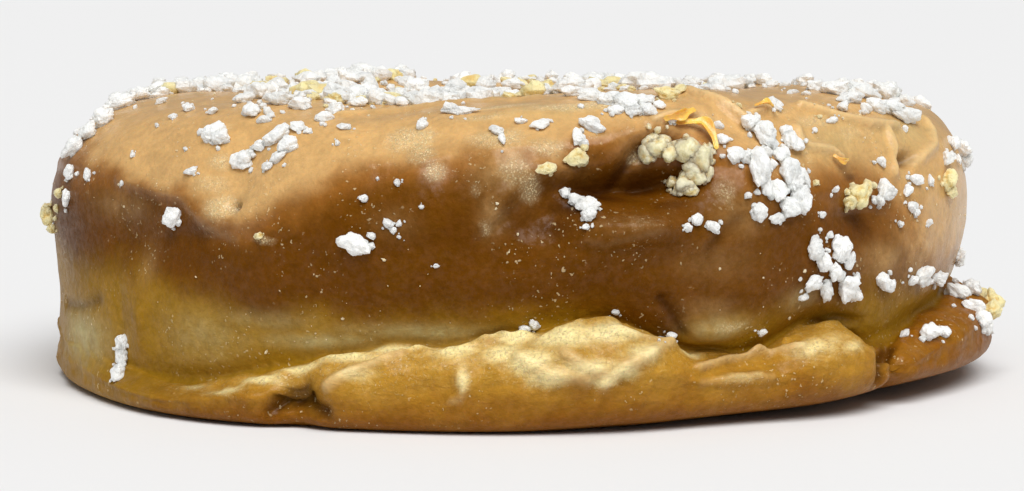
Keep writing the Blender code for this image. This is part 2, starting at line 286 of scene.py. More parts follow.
# Fine wrinkles of the glaze, by the same pixels: their course, rise and half-width in millimetres
WRINKLES = (
    (((798, 106), (831, 116), (865, 125), (891, 128)), 0.7, 0.5),
    (((883, 131), (893, 150), (893, 173)), 0.6, 0.5),
    (((911, 163), (920, 154), (929, 145), (927, 130), (919, 120)), 0.6, 0.5),
    (((793, 130), (798, 145), (814, 148), (830, 150), (840, 158)), 0.6, 0.5),
    (((749, 115), (765, 108), (769, 113)), 0.6, 0.45),
    (((340, 114), (380, 110), (421, 106), (450, 104), (480, 102), (510, 100), (538, 97)), 0.4, 0.6),
    (((118, 178), (150, 186), (178, 196), (196, 214), (206, 230), (240, 238)), 0.25, 0.6),
    (((686, 92), (706, 98), (728, 108), (742, 120)), 0.8, 0.55),
    (((655, 122), (672, 117), (690, 114)), 0.7, 0.5),
    (((710, 250), (722, 232), (738, 222)), -0.3, 0.6),
    (((588, 240), (601, 247), (618, 243), (638, 238), (660, 230)), 0.2, 0.6),
    (((604, 386), (622, 366), (648, 352), (668, 344)), 0.8, 0.6),
    (((566, 352), (585, 364), (603, 376)), 0.7, 0.6),
    (((520, 356), (548, 372), (586, 380)), 0.6, 0.6),
    (((610, 330), (640, 336), (668, 344)), 0.5, 0.5),
    (((700, 366), (726, 360), (760, 355), (800, 350)), 0.6, 0.5),
    (((700, 382), (740, 376), (770, 376)), 0.3, 0.5),
    (((330, 384), (350, 372), (372, 364), (404, 354)), 0.7, 0.6),
    (((456, 375), (466, 386), (462, 398), (450, 402)), 0.4, 0.45),
    (((272, 416), (282, 401), (294, 391), (303, 391), (310, 402), (320, 419)), -1.0, 0.7),
    (((887, 346), (883, 362), (880, 384)), -1.2, 0.6),
    (((660, 300), (672, 318), (682, 334)), -0.5, 0.5),
    (((62, 304), (80, 307), (96, 302)), -0.35, 0.6),
)

# The torn edge of the glaze that hangs over the hollow, by the same pixels, from left to right
FILM_EDGE = (
    (470, 240), (480, 234), (492, 224), (510, 205), (524, 192), (537, 180), (553, 176), (570, 173),
    (588, 172), (604, 177), (614, 170), (624, 152), (636, 140), (648, 134), (662, 132), (680, 134),
)
FILM_THICKNESS = 0.5 * MM
FILM_GROOVE = 0.9 * MM
# The azimuths between which the groove under the hanging glaze gets deep
FILM_DEEP_FROM, FILM_DEEP_TO = 2.0, 12.0

# Noise that raises the crust: amount in millimetres, size of its bumps, seed, layers
TORN_LUMPS = (0.30, 4.2 * MM, 3, 3)
TORN_RIDGES = (0.16, 1.7 * MM, 5, 3)
DENTS = (0.34, 11 * MM, 7, 2)
RIPPLES = (0.07, 2.6 * MM, 13, 3)
# Noise that makes the edges of the lip and of the hanging glaze wander, by steps of the section
EDGE_WANDER = (0.22, 5.0 * MM, 31, 3)
EDGE_NICKS = (0.05, 1.7 * MM, 37, 1)
FILM_WANDER = (0.07, 3.0 * MM, 61, 3)
# Noise that makes the lip's curled edge uneven, as a share of its rise
EDGE_CURL = (0.9, 1.5 * MM, 23, 2)
# Noise that moves the edges of the glaze's colours up and down, in millimetres, and the lip's share of it
PAINT_BLOTCH = (0.9, 6 * MM, 17, 3)
PAINT_STREAK = (0.4, 2.2 * MM, 19, 3)
LIP_BLOTCHES = 7 / 9
# How far the thick glaze, the curled edge of the lip and the tuck above it stand out, in millimetres
GLAZE_THICKNESS = 0.30
CURL_RISE = 0.38
TUCK_LEAST, TUCK_MORE = 0.1, 0.45

# Where the crease above the lip is dark, tucked deeper and painted with shade: azimuth, spread, strength
CREASE_SHADE = ((22, 4, 0.8), (47, 6, 0.7), (64, 8, 0.4), (12, 3, 0.2), (-6, 3, 0.2), (180, 60, 0.5))

# How bare the lip's dough is round the ring, where 0 is glazed as the wall above it: azimuth, share
LIP_BARE = (
    (-180, 0.8), (-120, 0.6), (-70, 0.15), (-50, 0.25), (-43, 0.7), (-36, 0.95), (-28, 1.0), (150, 1.0),
)
# How pale that dough is, from its brown foot up: azimuth, share
LIP_TONE = (
    (-180, 0.8), (-60, 0.8), (-38, 0.9), (-10, 1.0), (16, 0.95), (24, 0.65), (32, 0.6), (40, 0.75), (46, 0.6),
    (52, 0.25), (62, 0.15), (84, 0.2), (110, 0.6), (150, 0.8),
)
# Lip dough that is torn pale, in part painted highlight where the wet lip shines, by the same pixels; the
# lip's painted glints gather there too
LIP_LIGHTS = (
    (612, 330, 34, 10, 1.0),
    (560, 335, 34, 12, 0.9),
    (520, 338, 18, 10, 0.9),
    (528, 362, 22, 12, 1.0),
    (548, 380, 22, 10, 0.9),
    (590, 366, 26, 7, 0.9),
    (606, 384, 16, 7, 1.0),
    (622, 372, 16, 8, 1.0),
    (640, 352, 18, 10, 0.8),
    (480, 336, 30, 9, 0.9),
    (455, 350, 22, 10, 0.8),
    (500, 352, 22, 12, 0.8),
    (466, 380, 6, 12, 0.9),
    (400, 348, 36, 6, 0.8),
    (345, 359, 34, 7, 0.8),
    (300, 368, 30, 7, 0.9),
    (262, 378, 26, 8, 0.9),
    (225, 388, 24, 8, 0.8),
    (196, 386, 14, 8, 0.6),
    (350, 374, 20, 6, 0.5),
    (690, 352, 18, 6, 0.7),
    (745, 378, 22, 5, 0.6),
    (810, 348, 34, 10, 0.7),
    (850, 345, 14, 6, 0.6),
)

# Crumbs that show, by the same pixels: across, down, half-width, half-height, turn in degrees
WHITE_CRUMBS = (
    (70, 172, 6, 7, 0), (79, 150, 11, 9, 60), (93, 136, 11, 9, 50), (108, 124, 13, 9, 40),
    (124, 110, 14, 10, 40), (141, 100, 15, 10, 25), (160, 92, 15, 10, 12), (180, 87, 15, 9, 5),
    (200, 86, 13, 8, 0), (215, 92, 9, 6, -30), (188, 110, 8, 6, 20), (176, 117, 5, 4, 0),
    (212, 113, 6, 4, 10), (217, 134, 12, 10, 20), (226, 141, 10, 8, -20), (190, 171, 8, 4, 25),
    (173, 218, 11, 9, 60), (66, 200, 5, 9, 0), (119, 346, 6, 9, 0), (121, 359, 7, 10, 10),
    (118, 373, 7, 9, 0), (123, 366, 5, 6, 0),
    (232, 86, 12, 8, 0), (250, 84, 14, 9, 0), (262, 96, 15, 11, -10), (280, 104, 16, 11, 0),
    (298, 108, 14, 9, 10), (245, 100, 12, 9, -40), (254, 113, 12, 8, -30), (266, 121, 7, 5, 20),
    (276, 84, 11, 5, 0), (245, 162, 11, 9, 30), (252, 156, 8, 6, 20), (278, 139, 13, 8, 40),
    (264, 147, 9, 5, 10), (291, 150, 12, 8, 35), (282, 160, 10, 6, 40), (272, 168, 6, 5, 30),
    (300, 129, 8, 6, -30), (310, 133, 5, 3, 0), (325, 119, 9, 6, 20), (337, 113, 10, 7, 35),
    (346, 128, 8, 4, -10), (314, 92, 11, 8, 0), (331, 88, 10, 7, 20), (346, 82, 11, 9, 0),
    (330, 103, 9, 5, 0), (357, 104, 10, 7, 0), (369, 97, 12, 10, 10), (365, 81, 9, 8, 0),
    (378, 103, 9, 6, 0), (398, 100, 12, 7, 0), (418, 88, 15, 11, 10), (410, 103, 9, 5, 0),
    (440, 94, 9, 5, 0), (457, 92, 14, 8, -10), (463, 113, 18, 6, -8), (450, 112, 8, 7, 0),
    (424, 124, 6, 6, 0), (486, 86, 10, 6, 0), (500, 92, 11, 5, 0), (512, 86, 13, 7, 0),
    (524, 80, 9, 5, 0), (499, 134, 8, 5, -45), (505, 143, 4, 9, 15), (478, 100, 7, 5, 0),
    (573, 80, 12, 7, 0), (590, 79, 13, 7, 0), (608, 80, 12, 6, 0), (630, 82, 13, 6, 0),
    (650, 80, 10, 5, 0), (690, 78, 11, 6, 0), (712, 76, 14, 7, 0), (731, 78, 9, 6, 0),
    (750, 80, 12, 8, 0), (764, 83, 9, 7, 10), (560, 91, 10, 5, 0), (574, 95, 12, 7, 0),
    (592, 99, 14, 8, -10), (609, 103, 14, 9, -10), (626, 106, 13, 9, -10), (641, 104, 12, 8, 0),
    (614, 112, 10, 5, 0), (631, 113, 9, 5, 0), (656, 108, 6, 5, 0), (649, 114, 9, 7, -20),
    (543, 128, 10, 6, 10), (522, 123, 6, 4, 0), (591, 128, 13, 8, -15), (577, 141, 6, 8, 0),
    (584, 147, 5, 4, 0),
    (594, 129, 6, 5, 0), (666, 122, 6, 4, 0), (567, 192, 6, 6, 0), (577, 199, 7, 6, -30),
    (588, 205, 11, 8, -10), (590, 216, 8, 8, 30), (586, 226, 4, 4, 0), (696, 222, 8, 6, 10),
    (688, 228, 5, 4, 0), (711, 225, 7, 6, -30), (716, 232, 4, 3, 0), (747, 126, 9, 10, -20),
    (758, 138, 12, 12, -35), (767, 146, 6, 6, 0), (786, 143, 10, 12, 15), (782, 134, 7, 6, 0),
    (752, 172, 14, 21, 12), (742, 160, 8, 8, 0), (762, 184, 7, 11, 0), (775, 158, 9, 8, 40),
    (780, 172, 11, 12, 0), (790, 183, 12, 12, 20), (776, 190, 9, 12, 0), (795, 200, 12, 12, -20),
    (786, 208, 11, 9, 0), (800, 190, 7, 8, 0), (803, 180, 5, 9, 10), (759, 212, 8, 10, 10),
    (776, 219, 9, 5, 0), (731, 158, 8, 9, 40), (720, 142, 7, 6, 20), (716, 126, 5, 4, 0),
    (771, 106, 5, 9, 10), (745, 117, 5, 3, 0), (832, 189, 5, 4, 20), (878, 161, 5, 5, 0),
    (911, 178, 9, 5, -15), (905, 188, 6, 5, 30), (927, 184, 4, 5, 0), (910, 208, 7, 5, -30),
    (912, 214, 4, 4, 0), (924, 224, 4, 4, 0), (899, 225, 3, 4, 0), (823, 212, 4, 3, 0),
    (883, 193, 10, 9, 20), (876, 201, 6, 6, 0), (813, 250, 9, 10, 5), (818, 263, 8, 9, 0),
    (838, 250, 9, 12, -15), (847, 264, 6, 8, 0), (832, 272, 7, 8, 0), (811, 281, 11, 7, 20),
    (823, 292, 8, 10, 0), (843, 287, 11, 12, 20), (852, 297, 7, 7, 0), (800, 297, 6, 4, 0),
    (830, 238, 4, 4, 0), (858, 278, 4, 4, 0), (819, 232, 3, 2, 0), (882, 281, 9, 8, -20),
    (889, 288, 6, 6, 0), (921, 276, 12, 10, 10), (935, 279, 9, 8, 0), (911, 282, 6, 5, 0),
    (930, 332, 15, 10, 10), (942, 330, 6, 8, 0), (905, 334, 8, 4, 15), (958, 152, 11, 10, 30),
    (944, 158, 9, 7, 0), (966, 160, 7, 9, 0), (950, 144, 6, 8, 0), (962, 142, 6, 6, 0),
    (955, 297, 9, 12, 0), (968, 292, 10, 9, 20), (974, 306, 8, 12, 20), (983, 322, 10, 8, -30),
    (966, 262, 9, 8, 0), (978, 270, 6, 9, -30), (988, 328, 8, 8, 0), (816, 91, 15, 8, -10),
    (836, 96, 19, 10, -12), (858, 82, 14, 10, 0), (862, 99, 20, 12, -14), (884, 98, 20, 12, -20),
    (886, 113, 18, 10, -24), (901, 120, 15, 10, -30), (904, 104, 11, 8, -30), (845, 104, 15, 8, -18),
    (871, 111, 15, 8, -24), (840, 88, 9, 7, 0), (828, 121, 8, 3, 0), (813, 130, 4, 3, 0), (840, 110, 9, 6, 0),
    (792, 93, 12, 4, 0), (806, 96, 6, 3, 0), (735, 93, 5, 3, 0), (662, 338, 9, 5, 20),
    (668, 343, 5, 4, 0), (762, 333, 5, 4, 0), (526, 329, 6, 5, 20), (532, 325, 4, 7, 30),
    (616, 314, 4, 3, 0), (357, 242, 14, 12, -10),
    (361, 198, 4, 4, 0), (387, 222, 4, 6, 30), (391, 231, 3, 4, 20), (401, 222, 3, 3, 0),
    (434, 267, 3, 2, 0), (421, 204, 3, 2, 0), (397, 180, 3, 4, 20), (376, 176, 2, 2, 0),
    (339, 144, 3, 3, 0), (186, 147, 4, 2, -25), (134, 153, 3, 3, 0), (159, 126, 4, 2, -25),
    (121, 182, 2, 3, 0), (89, 172, 4, 7, 20), (401, 238, 2, 2, 0),
)
GOLDEN_CRUMBS = (
    (46, 216, 9, 12, 10), (40, 208, 6, 6, 0), (51, 228, 5, 5, 0), (59, 193, 4, 5, 0),
    (336, 102, 9, 8, 0), (376, 81, 4, 3, 0), (400, 88, 5, 4, 0), (531, 79, 8, 6, 0), (508, 83, 7, 5, 0),
    (550, 86, 7, 5, 0), (665, 97, 11, 8, -10), (678, 92, 8, 6, 0), (573, 158, 12, 8, 10),
    (580, 164, 7, 6, 0), (543, 173, 8, 5, 10), (261, 236, 6, 4, 20),
    (857, 194, 11, 11, 0), (850, 203, 8, 7, 0), (866, 189, 8, 7, 0), (944, 182, 9, 10, 0),
    (946, 191, 8, 7, 0), (975, 278, 7, 7, 0), (988, 288, 8, 7, 0), (997, 300, 11, 11, 0),
    (990, 312, 9, 9, 0), (1000, 311, 7, 8, 0), (815, 183, 3, 3, 0), (534, 329, 5, 3, 0),
    (735, 108, 5, 3, 0), (816, 117, 4, 2, 0),
)
CLUMP_CRUMBS = (
    (652, 139, 9, 8, 0), (650, 150, 6, 9, 20), (659, 147, 9, 9, 20), (665, 138, 9, 8, 0),
    (671, 152, 10, 9, 0), (681, 147, 11, 9, 0), (691, 152, 12, 11, 0), (699, 160, 12, 12, 0),
    (701, 171, 9, 10, 0), (694, 176, 11, 11, 0), (685, 184, 11, 10, 0), (680, 191, 9, 7, 0),
    (688, 194, 8, 6, 0), (674, 184, 7, 7, 0), (706, 156, 7, 8, 0),
)
# How much of its outline on the photograph a crumb's longest reach takes
CRUMB_SPREAD = 1.55
# A crumb's thickness beside the narrower half-width of its outline, and how much it varies
CRUMB_THICKNESS = 0.8
THICKNESS_RANGE = (0.9, 1.15)
# A crumb's balls: how many, how far out and how large, its core's reach, and the power that blends them
CRUMB_KNOBS = 8
KNOB_OUT = (0.35, 0.62)
KNOB_RADIUS = (0.30, 0.46)
CRUMB_CORE = 0.42
KNOB_POWER = 9
# A crumb's flat cuts: how many, how far out, and how much they count beside the balls
CRUMB_CUTS = 12
CUT_OUT = (0.5, 0.9)
CUT_SHARE = 0.6
# How rough a crumb is, and how far apart in the noise two crumbs lie
CRUMB_ROUGHNESS = (0.09, 0.55, 51, 2)
CRUMB_APART = 7.0
# The grains that a crumb is pressed from: how many, how far each spreads, and how far it stands out
CRUMB_GRAINS = 46
GRAIN_SPAN = 0.075
GRAIN_RISE = 0.24
# Bits broken off beside each crumb that shows: how many, how far from its middle and how large beside it
BITS_BESIDE = 2
BIT_AWAY = (0.85, 1.3)
BIT_SIZE = (0.22, 0.42)
# Half-width times half-height, in pixels, from which a crumb counts as large
LARGE_PIXELS = 60
# Rings and points round each: large crumbs, small ones, bits, strewn ones, and loose grains
LARGE_DETAIL = (16, 24)
SMALL_DETAIL = (9, 14)
BIT_DETAIL = (5, 7)
STREWN_DETAIL = (6, 8)
GRAIN_DETAIL = (4, 5)
# How far a middle lies above the crust, as a share of its half-thickness: crumbs, grains and the clump
CRUMB_LIFT = 0.35
GRAIN_LIFT = 0.2
CLUMP_LIFT = 0.6
# How far the clump's crumbs have melted, where 0 is crisp and 1 is round
CLUMP_MELTED = 0.15
# Where crumbs are strewn on the crown: the inner radius, and the outer ones of the shown side and the back
STREWN_INNER = 17.5 * MM
STREWN_SHOWN_OUTER, STREWN_BACK_OUTER = 31.5 * MM, 42.5 * MM
STREWN_SHOWN_SIDE = 84
# Their clusters, the bar that the clusters' noise has to pass, and their least and added half-width
STREWN_CLUSTERS = (1.0, 9 * MM, 41, 2)
STREWN_BAR = (-0.85, 0.45)
STREWN_LEAST, STREWN_MORE = 0.45 * MM, 1.5 * MM
# Loose grains, in the same way
GRAIN_CLUSTERS = (1.0, 6 * MM, 43, 2)
GRAIN_BAR = (-0.15, 1.3)
# Stretches of the ring with little strewn crumble: azimuth, spread, strength
BARE_STRETCHES = ((128, 32, 0.8), (62, 16, 0.5), (8, 30, 0.35))
CRUMBLE_SEED = 5
GRAIN_SEED = 9
CLUMP_SEED = 15
# The share of the strewn crumbs that is golden, and the turn from each strewn crumb to the next
GOLDEN_SHARE = 0.16
GOLDEN_ANGLE = 137.508

# Curled flakes: their course over the photograph's pixels, half-width and arch in millimetres
FLAKES = (
    (((656, 123), (666, 119), (678, 116), (690, 114)), 0.42, 0.2),
    (((675, 127), (688, 125), (699, 130), (708, 141), (714, 152)), 0.45, 0.4),
    (((750, 112), (758, 110), (767, 112)), 0.22, 0.2),
    (((829, 155), (836, 160), (844, 159)), 0.24, 0.25),
)
FLAKE_ALONG = 40
FLAKE_AROUND = 12
FLAKE_HALF_THICKNESS = 0.14 * MM
FLAKE_CURL = 0.8
# How a flake narrows to its ends, the width it keeps there, and how its width waves along it
FLAKE_TAPER, FLAKE_TIP = 0.35, 0.02
FLAKE_WAVE, FLAKE_WAVE_TURNS, FLAKE_WAVE_START = 0.3, 11, 2
FLAKE_SWELL, FLAKE_EDGE = 0.5, 0.05
# How far a flake's ends stand off the crust
FLAKE_GAP = 0.25

# Noise of the finishes: bumps for each metre, detail, roughness and, where it has one, distortion
MOTTLE = (260.0, 4.0, 0.6)
FINE = (1500.0, 3.0, 0.7)
BLOTCHES = (420.0, 5.0, 0.7, 0.8)
PATCHY = (520.0, 4.0, 0.7)
SPARKLE = (5600.0, 2.0, 0.6)
SPECKS = (2600.0, 1.0, 0.5)
SPECK_CLUSTERS = (210.0, 2.0, 0.5)
GLINTS = (4200.0, 2.0, 0.7, 0.6)
PORES = (1900.0, 3.0, 0.6)
FLAKE_PATCHES = (700.0, 3.0, 0.6)
# The lip's torn strands: their noise, how they slant, and how they are drawn out
STRANDS = (1500.0, 5.0, 0.68, 1.0)
STRAND_SLANT = math.radians(24)
STRAND_STRETCH = (0.42, 0.6, 1.0)

# Finishes: a shader's even values, how far red, green and blue spread inside, and the relief's depth
DOUGH_FINISH = dict(
    Subsurface_Weight=0.1, Subsurface_Scale=2 * MM, Coat_Roughness=0.2, Specular_IOR_Level=0.15,
    Specular_Tint=(1.0, 0.55, 0.15), Coat_Tint=(1.0, 0.93, 0.80),
)
DOUGH_GLOW = (1.0, 0.45, 0.2)
DOUGH_RELIEF = 0.16 * MM
CRUMBLE_FINISH = dict(
    Roughness=0.55, Subsurface_Weight=0.45, Subsurface_Scale=2 * MM, Coat_Weight=0.12, Coat_Roughness=0.3,
)
CLUMP_FINISH = dict(Roughness=0.28, Subsurface_Weight=0.7, Coat_Weight=0.6)
CRUMBLE_GLOW = (1.0, 0.95, 0.88)
CRUMBLE_RELIEF = 0.3 * MM
FLAKE_FINISH = dict(Roughness=0.3, Subsurface_Weight=0.3, Subsurface_Scale=1 * MM, Coat_Weight=0.3)
FLAKE_LIGHTER = 1.5
FLAKE_RELIEF = 0.1 * MM

# The stage
FLOOR_HALF = 30.0
FLOOR_GAP = 0.1 * MM
SUN_TURN = (math.radians(34), math.radians(8), 0.0)
SENSOR_MILLIMETRES = 36
# How far the eye looks down: the horizon lies above the photograph
EYE_PITCH = math.atan((PHOTO_HEIGHT / 2 - EYE_HORIZON) / EYE_FOCAL)


def from_screen(red, green, blue):
    """A screen colour, 0 to 255, as the linear colour that a shader takes."""
    part = np.array((red, green, blue)) / 255.0
    linear = np.where(part <= 0.04045, part / 12.92, ((part + 0.055) / 1.055) ** 2.4)
    return tuple(float(value) for value in linear)


def colour_property(name, description, *screen):
    """A colour that a user would change, given as a screen colour."""
    start = from_screen(*screen)
    return FloatVectorProperty(
        name=name, description=description, subtype="COLOR", size=3, min=0.0, max=1.0, default=start
    )


def size_property(name, description, millimetres):
    """A length that a user would change, given in millimetres."""
    return FloatProperty(name=name, description=description, default=millimetres * MM, unit="LENGTH")


def count_property(name, description, count):
    """A number of things that a user would change."""
    return IntProperty(name=name, description=description, default=count, min=0)


def light_property(name, description, strength):
    """The strength of a light that a user would change."""
    return FloatProperty(name=name, description=description, default=strength, min=0.0)


class DoughSettings(PropertyGroup):
    """Sizes and colours of the ring of dough and its glaze."""

    wall_radius: size_property("Wall radius", "Outer radius of the ring's upright wall", 45.2)
    hole_radius: size_property("Hole radius", "Radius of the hole at its narrowest", 12.0)
    crown_radius: size_property("Crown radius", "Radius of the crown's highest line", 29.0)
    crown_height: size_property("Crown height", "Height of the crown", 27.9)
    foot_outer_radius: size_property("Foot outer radius", "Outer radius of the flat foot", 37.5)
    foot_inner_radius: size_property("Foot inner radius", "Inner radius of the flat foot", 23.0)
    lip_radius: size_property("Lip radius", "Radius of the folded lip's nose", 45.8)
    lip_nose_height: size_property("Lip nose height", "Height of the folded lip's nose", 4.4)
    # The three glaze colours, pale on the crown to dark on the wall, are partly the glaze's own and partly
    # painted light and painted shade; the dark one also paints the crease's shade
    glaze_light: colour_property("Light glaze", "Thick glaze of the crown", 206, 166, 110)
    glaze_mid: colour_property("Middle glaze", "Thin glaze of the shoulder", 142, 90, 30)
    glaze_dark: colour_property("Dark glaze", "Soaked glaze of the wall", 98, 55, 1)
    # The hollow colour is partly browned crust and partly painted shade, in hollows, pits, wrinkle grooves
    # and under the hanging glaze
    hollow: colour_property("Hollow", "Browned crust in folds and hollows", 52, 20, 2)
    band: colour_property("Band", "Little-browned band above the lip", 152, 112, 20)
    pale: colour_property("Pale dough", "Unbrowned dough", 188, 174, 122)
    lip_top: colour_property("Lip top", "Upper edge of the folded lip", 238, 220, 158)
    lip_middle: colour_property("Lip middle", "Middle of the folded lip", 180, 134, 46)
    lip_foot: colour_property("Lip foot", "Browned foot of the folded lip", 130, 78, 8)
    # The sugar colour also paints the glints on the lip and in the frost, and highlights on the wrinkles'
    # ridges
    sugar: colour_property("Sugar frost", "Dried sugar on the glaze", 250, 228, 180)


class CrumbleSettings(PropertyGroup):
    """Amounts and colours of what is stuck to the glaze."""

    strewn: count_property("Strewn crumbs", "Crumbs tried over the crown", 1350)
    grains: count_property("Sugar grains", "Tiny grains tried on the glaze", 2600)
    grain_size: size_property("Grain size", "Half-width of a tiny sugar grain", 0.11)
    # Each crumble's shade colour is painted shade in its crevices
    white: colour_property("White crumble", "Puffed white crumble", 252, 253, 248)
    white_shade: colour_property("White crumble shade", "Crevices of the white crumble", 250, 248, 241)
    gold: colour_property("Golden crumble", "Toasted golden crumble", 246, 228, 168)
    gold_shade: colour_property("Golden crumble shade", "Crevices of the golden crumble", 234, 194, 116)
    clump: colour_property("Candied clump", "Half-melted clump of sugar", 255, 234, 180)
    clump_shade: colour_property("Candied clump shade", "Crevices of the melted clump", 252, 200, 122)
    flake: colour_property("Flake", "Curled caramel flakes", 232, 170, 74)


class StageSettings(PropertyGroup):
    """The floor, the light and the eye."""

    eye_distance: size_property("Eye distance", "From the ring's axis to the camera", 276.0)
    eye_height: size_property("Eye height", "Camera above the floor", 38.8)
    eye_offset: size_property("Eye offset", "Camera to the right of the ring's axis", 0.8)
    sun_strength: light_property("Overhead light", "Soft light from above", 3.3)
    sun_spread: FloatProperty(
        name="Light spread",
        description="Angle that the overhead light fills",
        default=math.radians(50),
        subtype="ANGLE",
    )
    fill_strength: light_property("Fill", "Even light from all round", 0.28)
    floor: colour_property("Floor", "Plain pale floor", 232, 232, 232)


def settings(scene):
    """Every size and colour of the three groups as one plain record, which a cache can hold."""
    values = {}
    for group, kind in SETTINGS:
        for name in kind.__annotations__:
            value = getattr(getattr(scene, group), name)
            values[name] = tuple(value) if hasattr(value, "__len__") else value
    return namedtuple("Settings", values)(**values)


def swells(table, azimuth):
    """The sum of smooth rises, each full at its own azimuth and 0.6 of that at one spread away."""
    total = np.zeros_like(azimuth)
    for centre, spread, amount in table:
        away = (azimuth - centre + 180) % 360 - 180
        total = total + amount * MM * np.exp(-0.5 * (away / spread) ** 2)
    return total


def waves(wave, azimuth):
    """Even waves round the ring: an amount times the cosine of so many turns past a phase."""
    count, phase, amount = wave
    return amount * MM * np.cos(np.radians(count * azimuth + phase))


def cubic(before, here, after, beyond, share):
    """The Catmull-Rom curve between two of four values in a row, a share of the way across."""
    return 0.5 * (
        2 * here
        + (after - before) * share
        + (2 * before - 5 * here + 4 * after - beyond) * share**2
        + (3 * here - before - 3 * after + beyond) * share**3
    )


def round_the_ring(table, azimuth):
    """A smooth closed curve through a table's values in millimetres, read at the given azimuths."""
    stops, values = np.array(table, float).T
    spans = np.diff(np.append(stops, stops[0] + 360))
    past = (azimuth - stops[0]) % 360
    first = np.searchsorted(stops - stops[0], past, side="right") - 1
    share = (past - (stops[first] - stops[0])) / spans[first]
    return cubic(*(values[(first + step) % len(values)] for step in (-1, 0, 1, 2)), share) * MM


def share_of(length):
    """A table's value read as a share from 0 to 1, where the table's functions give it as a length."""
    return np.clip(length / MM, 0, 1)


def smooth_step(value, low, high):
    """0 below low, 1 above high, and a smooth S between them."""
    share = np.clip((value - low) / (high - low), 0.0, 1.0)
    return share * share * (3 - 2 * share)


def lattice_noise(points, size, seed):
    """Smooth noise from -1 to 1: a hashed value at each corner of cubes of that size, blended."""
    place = points / size
    cell = np.floor(place).astype(np.int64)
    share = place - cell
    share = share * share * (3 - 2 * share)
    total = 0.0
    for corner in itertools.product((0, 1), repeat=3):
        key = cell + np.array(corner)
        hashed = key[..., 0] * 73856093 ^ key[..., 1] * 19349663 ^ key[..., 2] * 83492791 ^ seed * 6542989
        hashed = (hashed ^ (hashed >> 13)) * 1274126177 & 0x7FFFFFFF
        hashed = (hashed ^ (hashed >> 16)) * 668265263 & 0x7FFFFFFF
        weight = np.prod(np.where(corner, share, 1 - share), axis=-1)
        total = total + weight * (hashed / 0x3FFFFFFF - 1.0)
    return total


def layered_noise(points, size, seed, layers=3):
    """Lattice noise with finer layers on it, each half the size and half the strength."""
    return sum(lattice_noise(points, size / 2**layer, seed + layer) / 2**layer for layer in range(layers))


def named_noise(points, kind):
    """Layered noise of a kind that a named value holds, from minus to plus about its amount."""
    amount, size, seed, layers = kind
    return amount * layered_noise(points, size, seed, layers)


def section(size, azimuth):
    """The radius and the height of each named point of the section at the azimuths."""
    level = np.zeros_like(azimuth)
    wall = size.wall_radius + swells(WALL_SWELLS, azimuth) + waves(WALL_WAVES, azimuth)
    crown = size.crown_height + swells(CROWN_SWELLS, azimuth) + waves(CROWN_WAVES, azimuth)
    path = size.crown_radius + waves(CROWN_PATH_WAVES, azimuth)
    square = swells(SHOULDER_SWELLS, azimuth)
    hole = size.hole_radius + waves(HOLE_WAVES, azimuth)
    lip = size.lip_radius + swells(LIP_SWELLS, azimuth)
    lift = np.maximum(round_the_ring(RIM_LIFT, azimuth), 0.0)
    edge = round_the_ring(LIP_EDGE, azimuth)
    fold = round_the_ring(LIP_FOLD, azimuth)
    nose = np.minimum(size.lip_nose_height, 0.55 * edge) + 0.4 * lift
    points = {
        FOOT_OUT: (size.foot_outer_radius + level, level),
        HEEL: (lip - 1.0 * MM - swells(HEEL_SWELLS, azimuth), 0.15 * MM + lift),
        NOSE: (lip, nose),
        LIP_TOP: (lip - 0.45 * fold, edge - 0.9 * MM),
        CREASE: (wall - fold, edge + 0.4 * MM),
        WALL_LOW: (wall - 0.5 * fold, edge + 2.8 * MM),
        WALL: (wall, 0.5 * edge + 10.5 * MM),
        WALL_HIGH: (wall - 0.8 * MM + 0.4 * square, 0.7 * crown),
        SHOULDER: (wall - 4.6 * MM + square, 0.9 * crown),
        CROWN_OUT: (path + 7.8 * MM + 0.4 * square, crown - 0.5 * MM),
        CROWN: (path, crown),
        CROWN_IN: (path - 7.6 * MM, crown - 1.7 * MM),
        THROAT_HIGH: (hole + 3.3 * MM, 0.7 * crown),
        THROAT: (hole, 0.45 * crown),
        THROAT_LOW: (hole + 1.4 * MM, 0.2 * crown),
        HEEL_IN: (hole + 5.0 * MM, 1.3 * MM + level),
        FOOT_IN: (size.foot_inner_radius + level, level),
    }
    radii, heights = zip(*(points[name] for name in range(SECTION_POINTS)))
    return np.array(radii), np.array(heights)


def along_section(values, place):
    """The smooth closed curve through each column's section values, read at its own place."""
    first = np.floor(place).astype(int)
    near = ((first + step) % SECTION_POINTS for step in (-1, 0, 1, 2))
    return cubic(*(np.take_along_axis(values, at[None], axis=0)[0] for at in near), place - first)


def bare_crust(size, azimuth, place):
    """Points of the ring without lumps: its section's curve, turned about the upright axis."""
    radii, heights = section(size, azimuth)
    radius = along_section(radii, place)
    height = np.maximum(along_section(heights, place), 0.0)
    turn = np.radians(azimuth)
    return np.stack((RING_AXIS_X + radius * np.sin(turn), -radius * np.cos(turn), height), axis=-1)


def frame_on(surface, size, azimuth, place):
    """Unit vectors at points of a surface: round the ring, up the section and outwards."""
    along = surface(size, azimuth + ROUND_STEP, place) - surface(size, azimuth - ROUND_STEP, place)
    up = surface(size, azimuth, place + PLACE_STEP) - surface(size, azimuth, place - PLACE_STEP)
    outward = np.cross(along, up)
    outward /= np.linalg.norm(outward, axis=-1, keepdims=True)
    along /= np.linalg.norm(along, axis=-1, keepdims=True)
    return along, np.cross(outward, along), outward


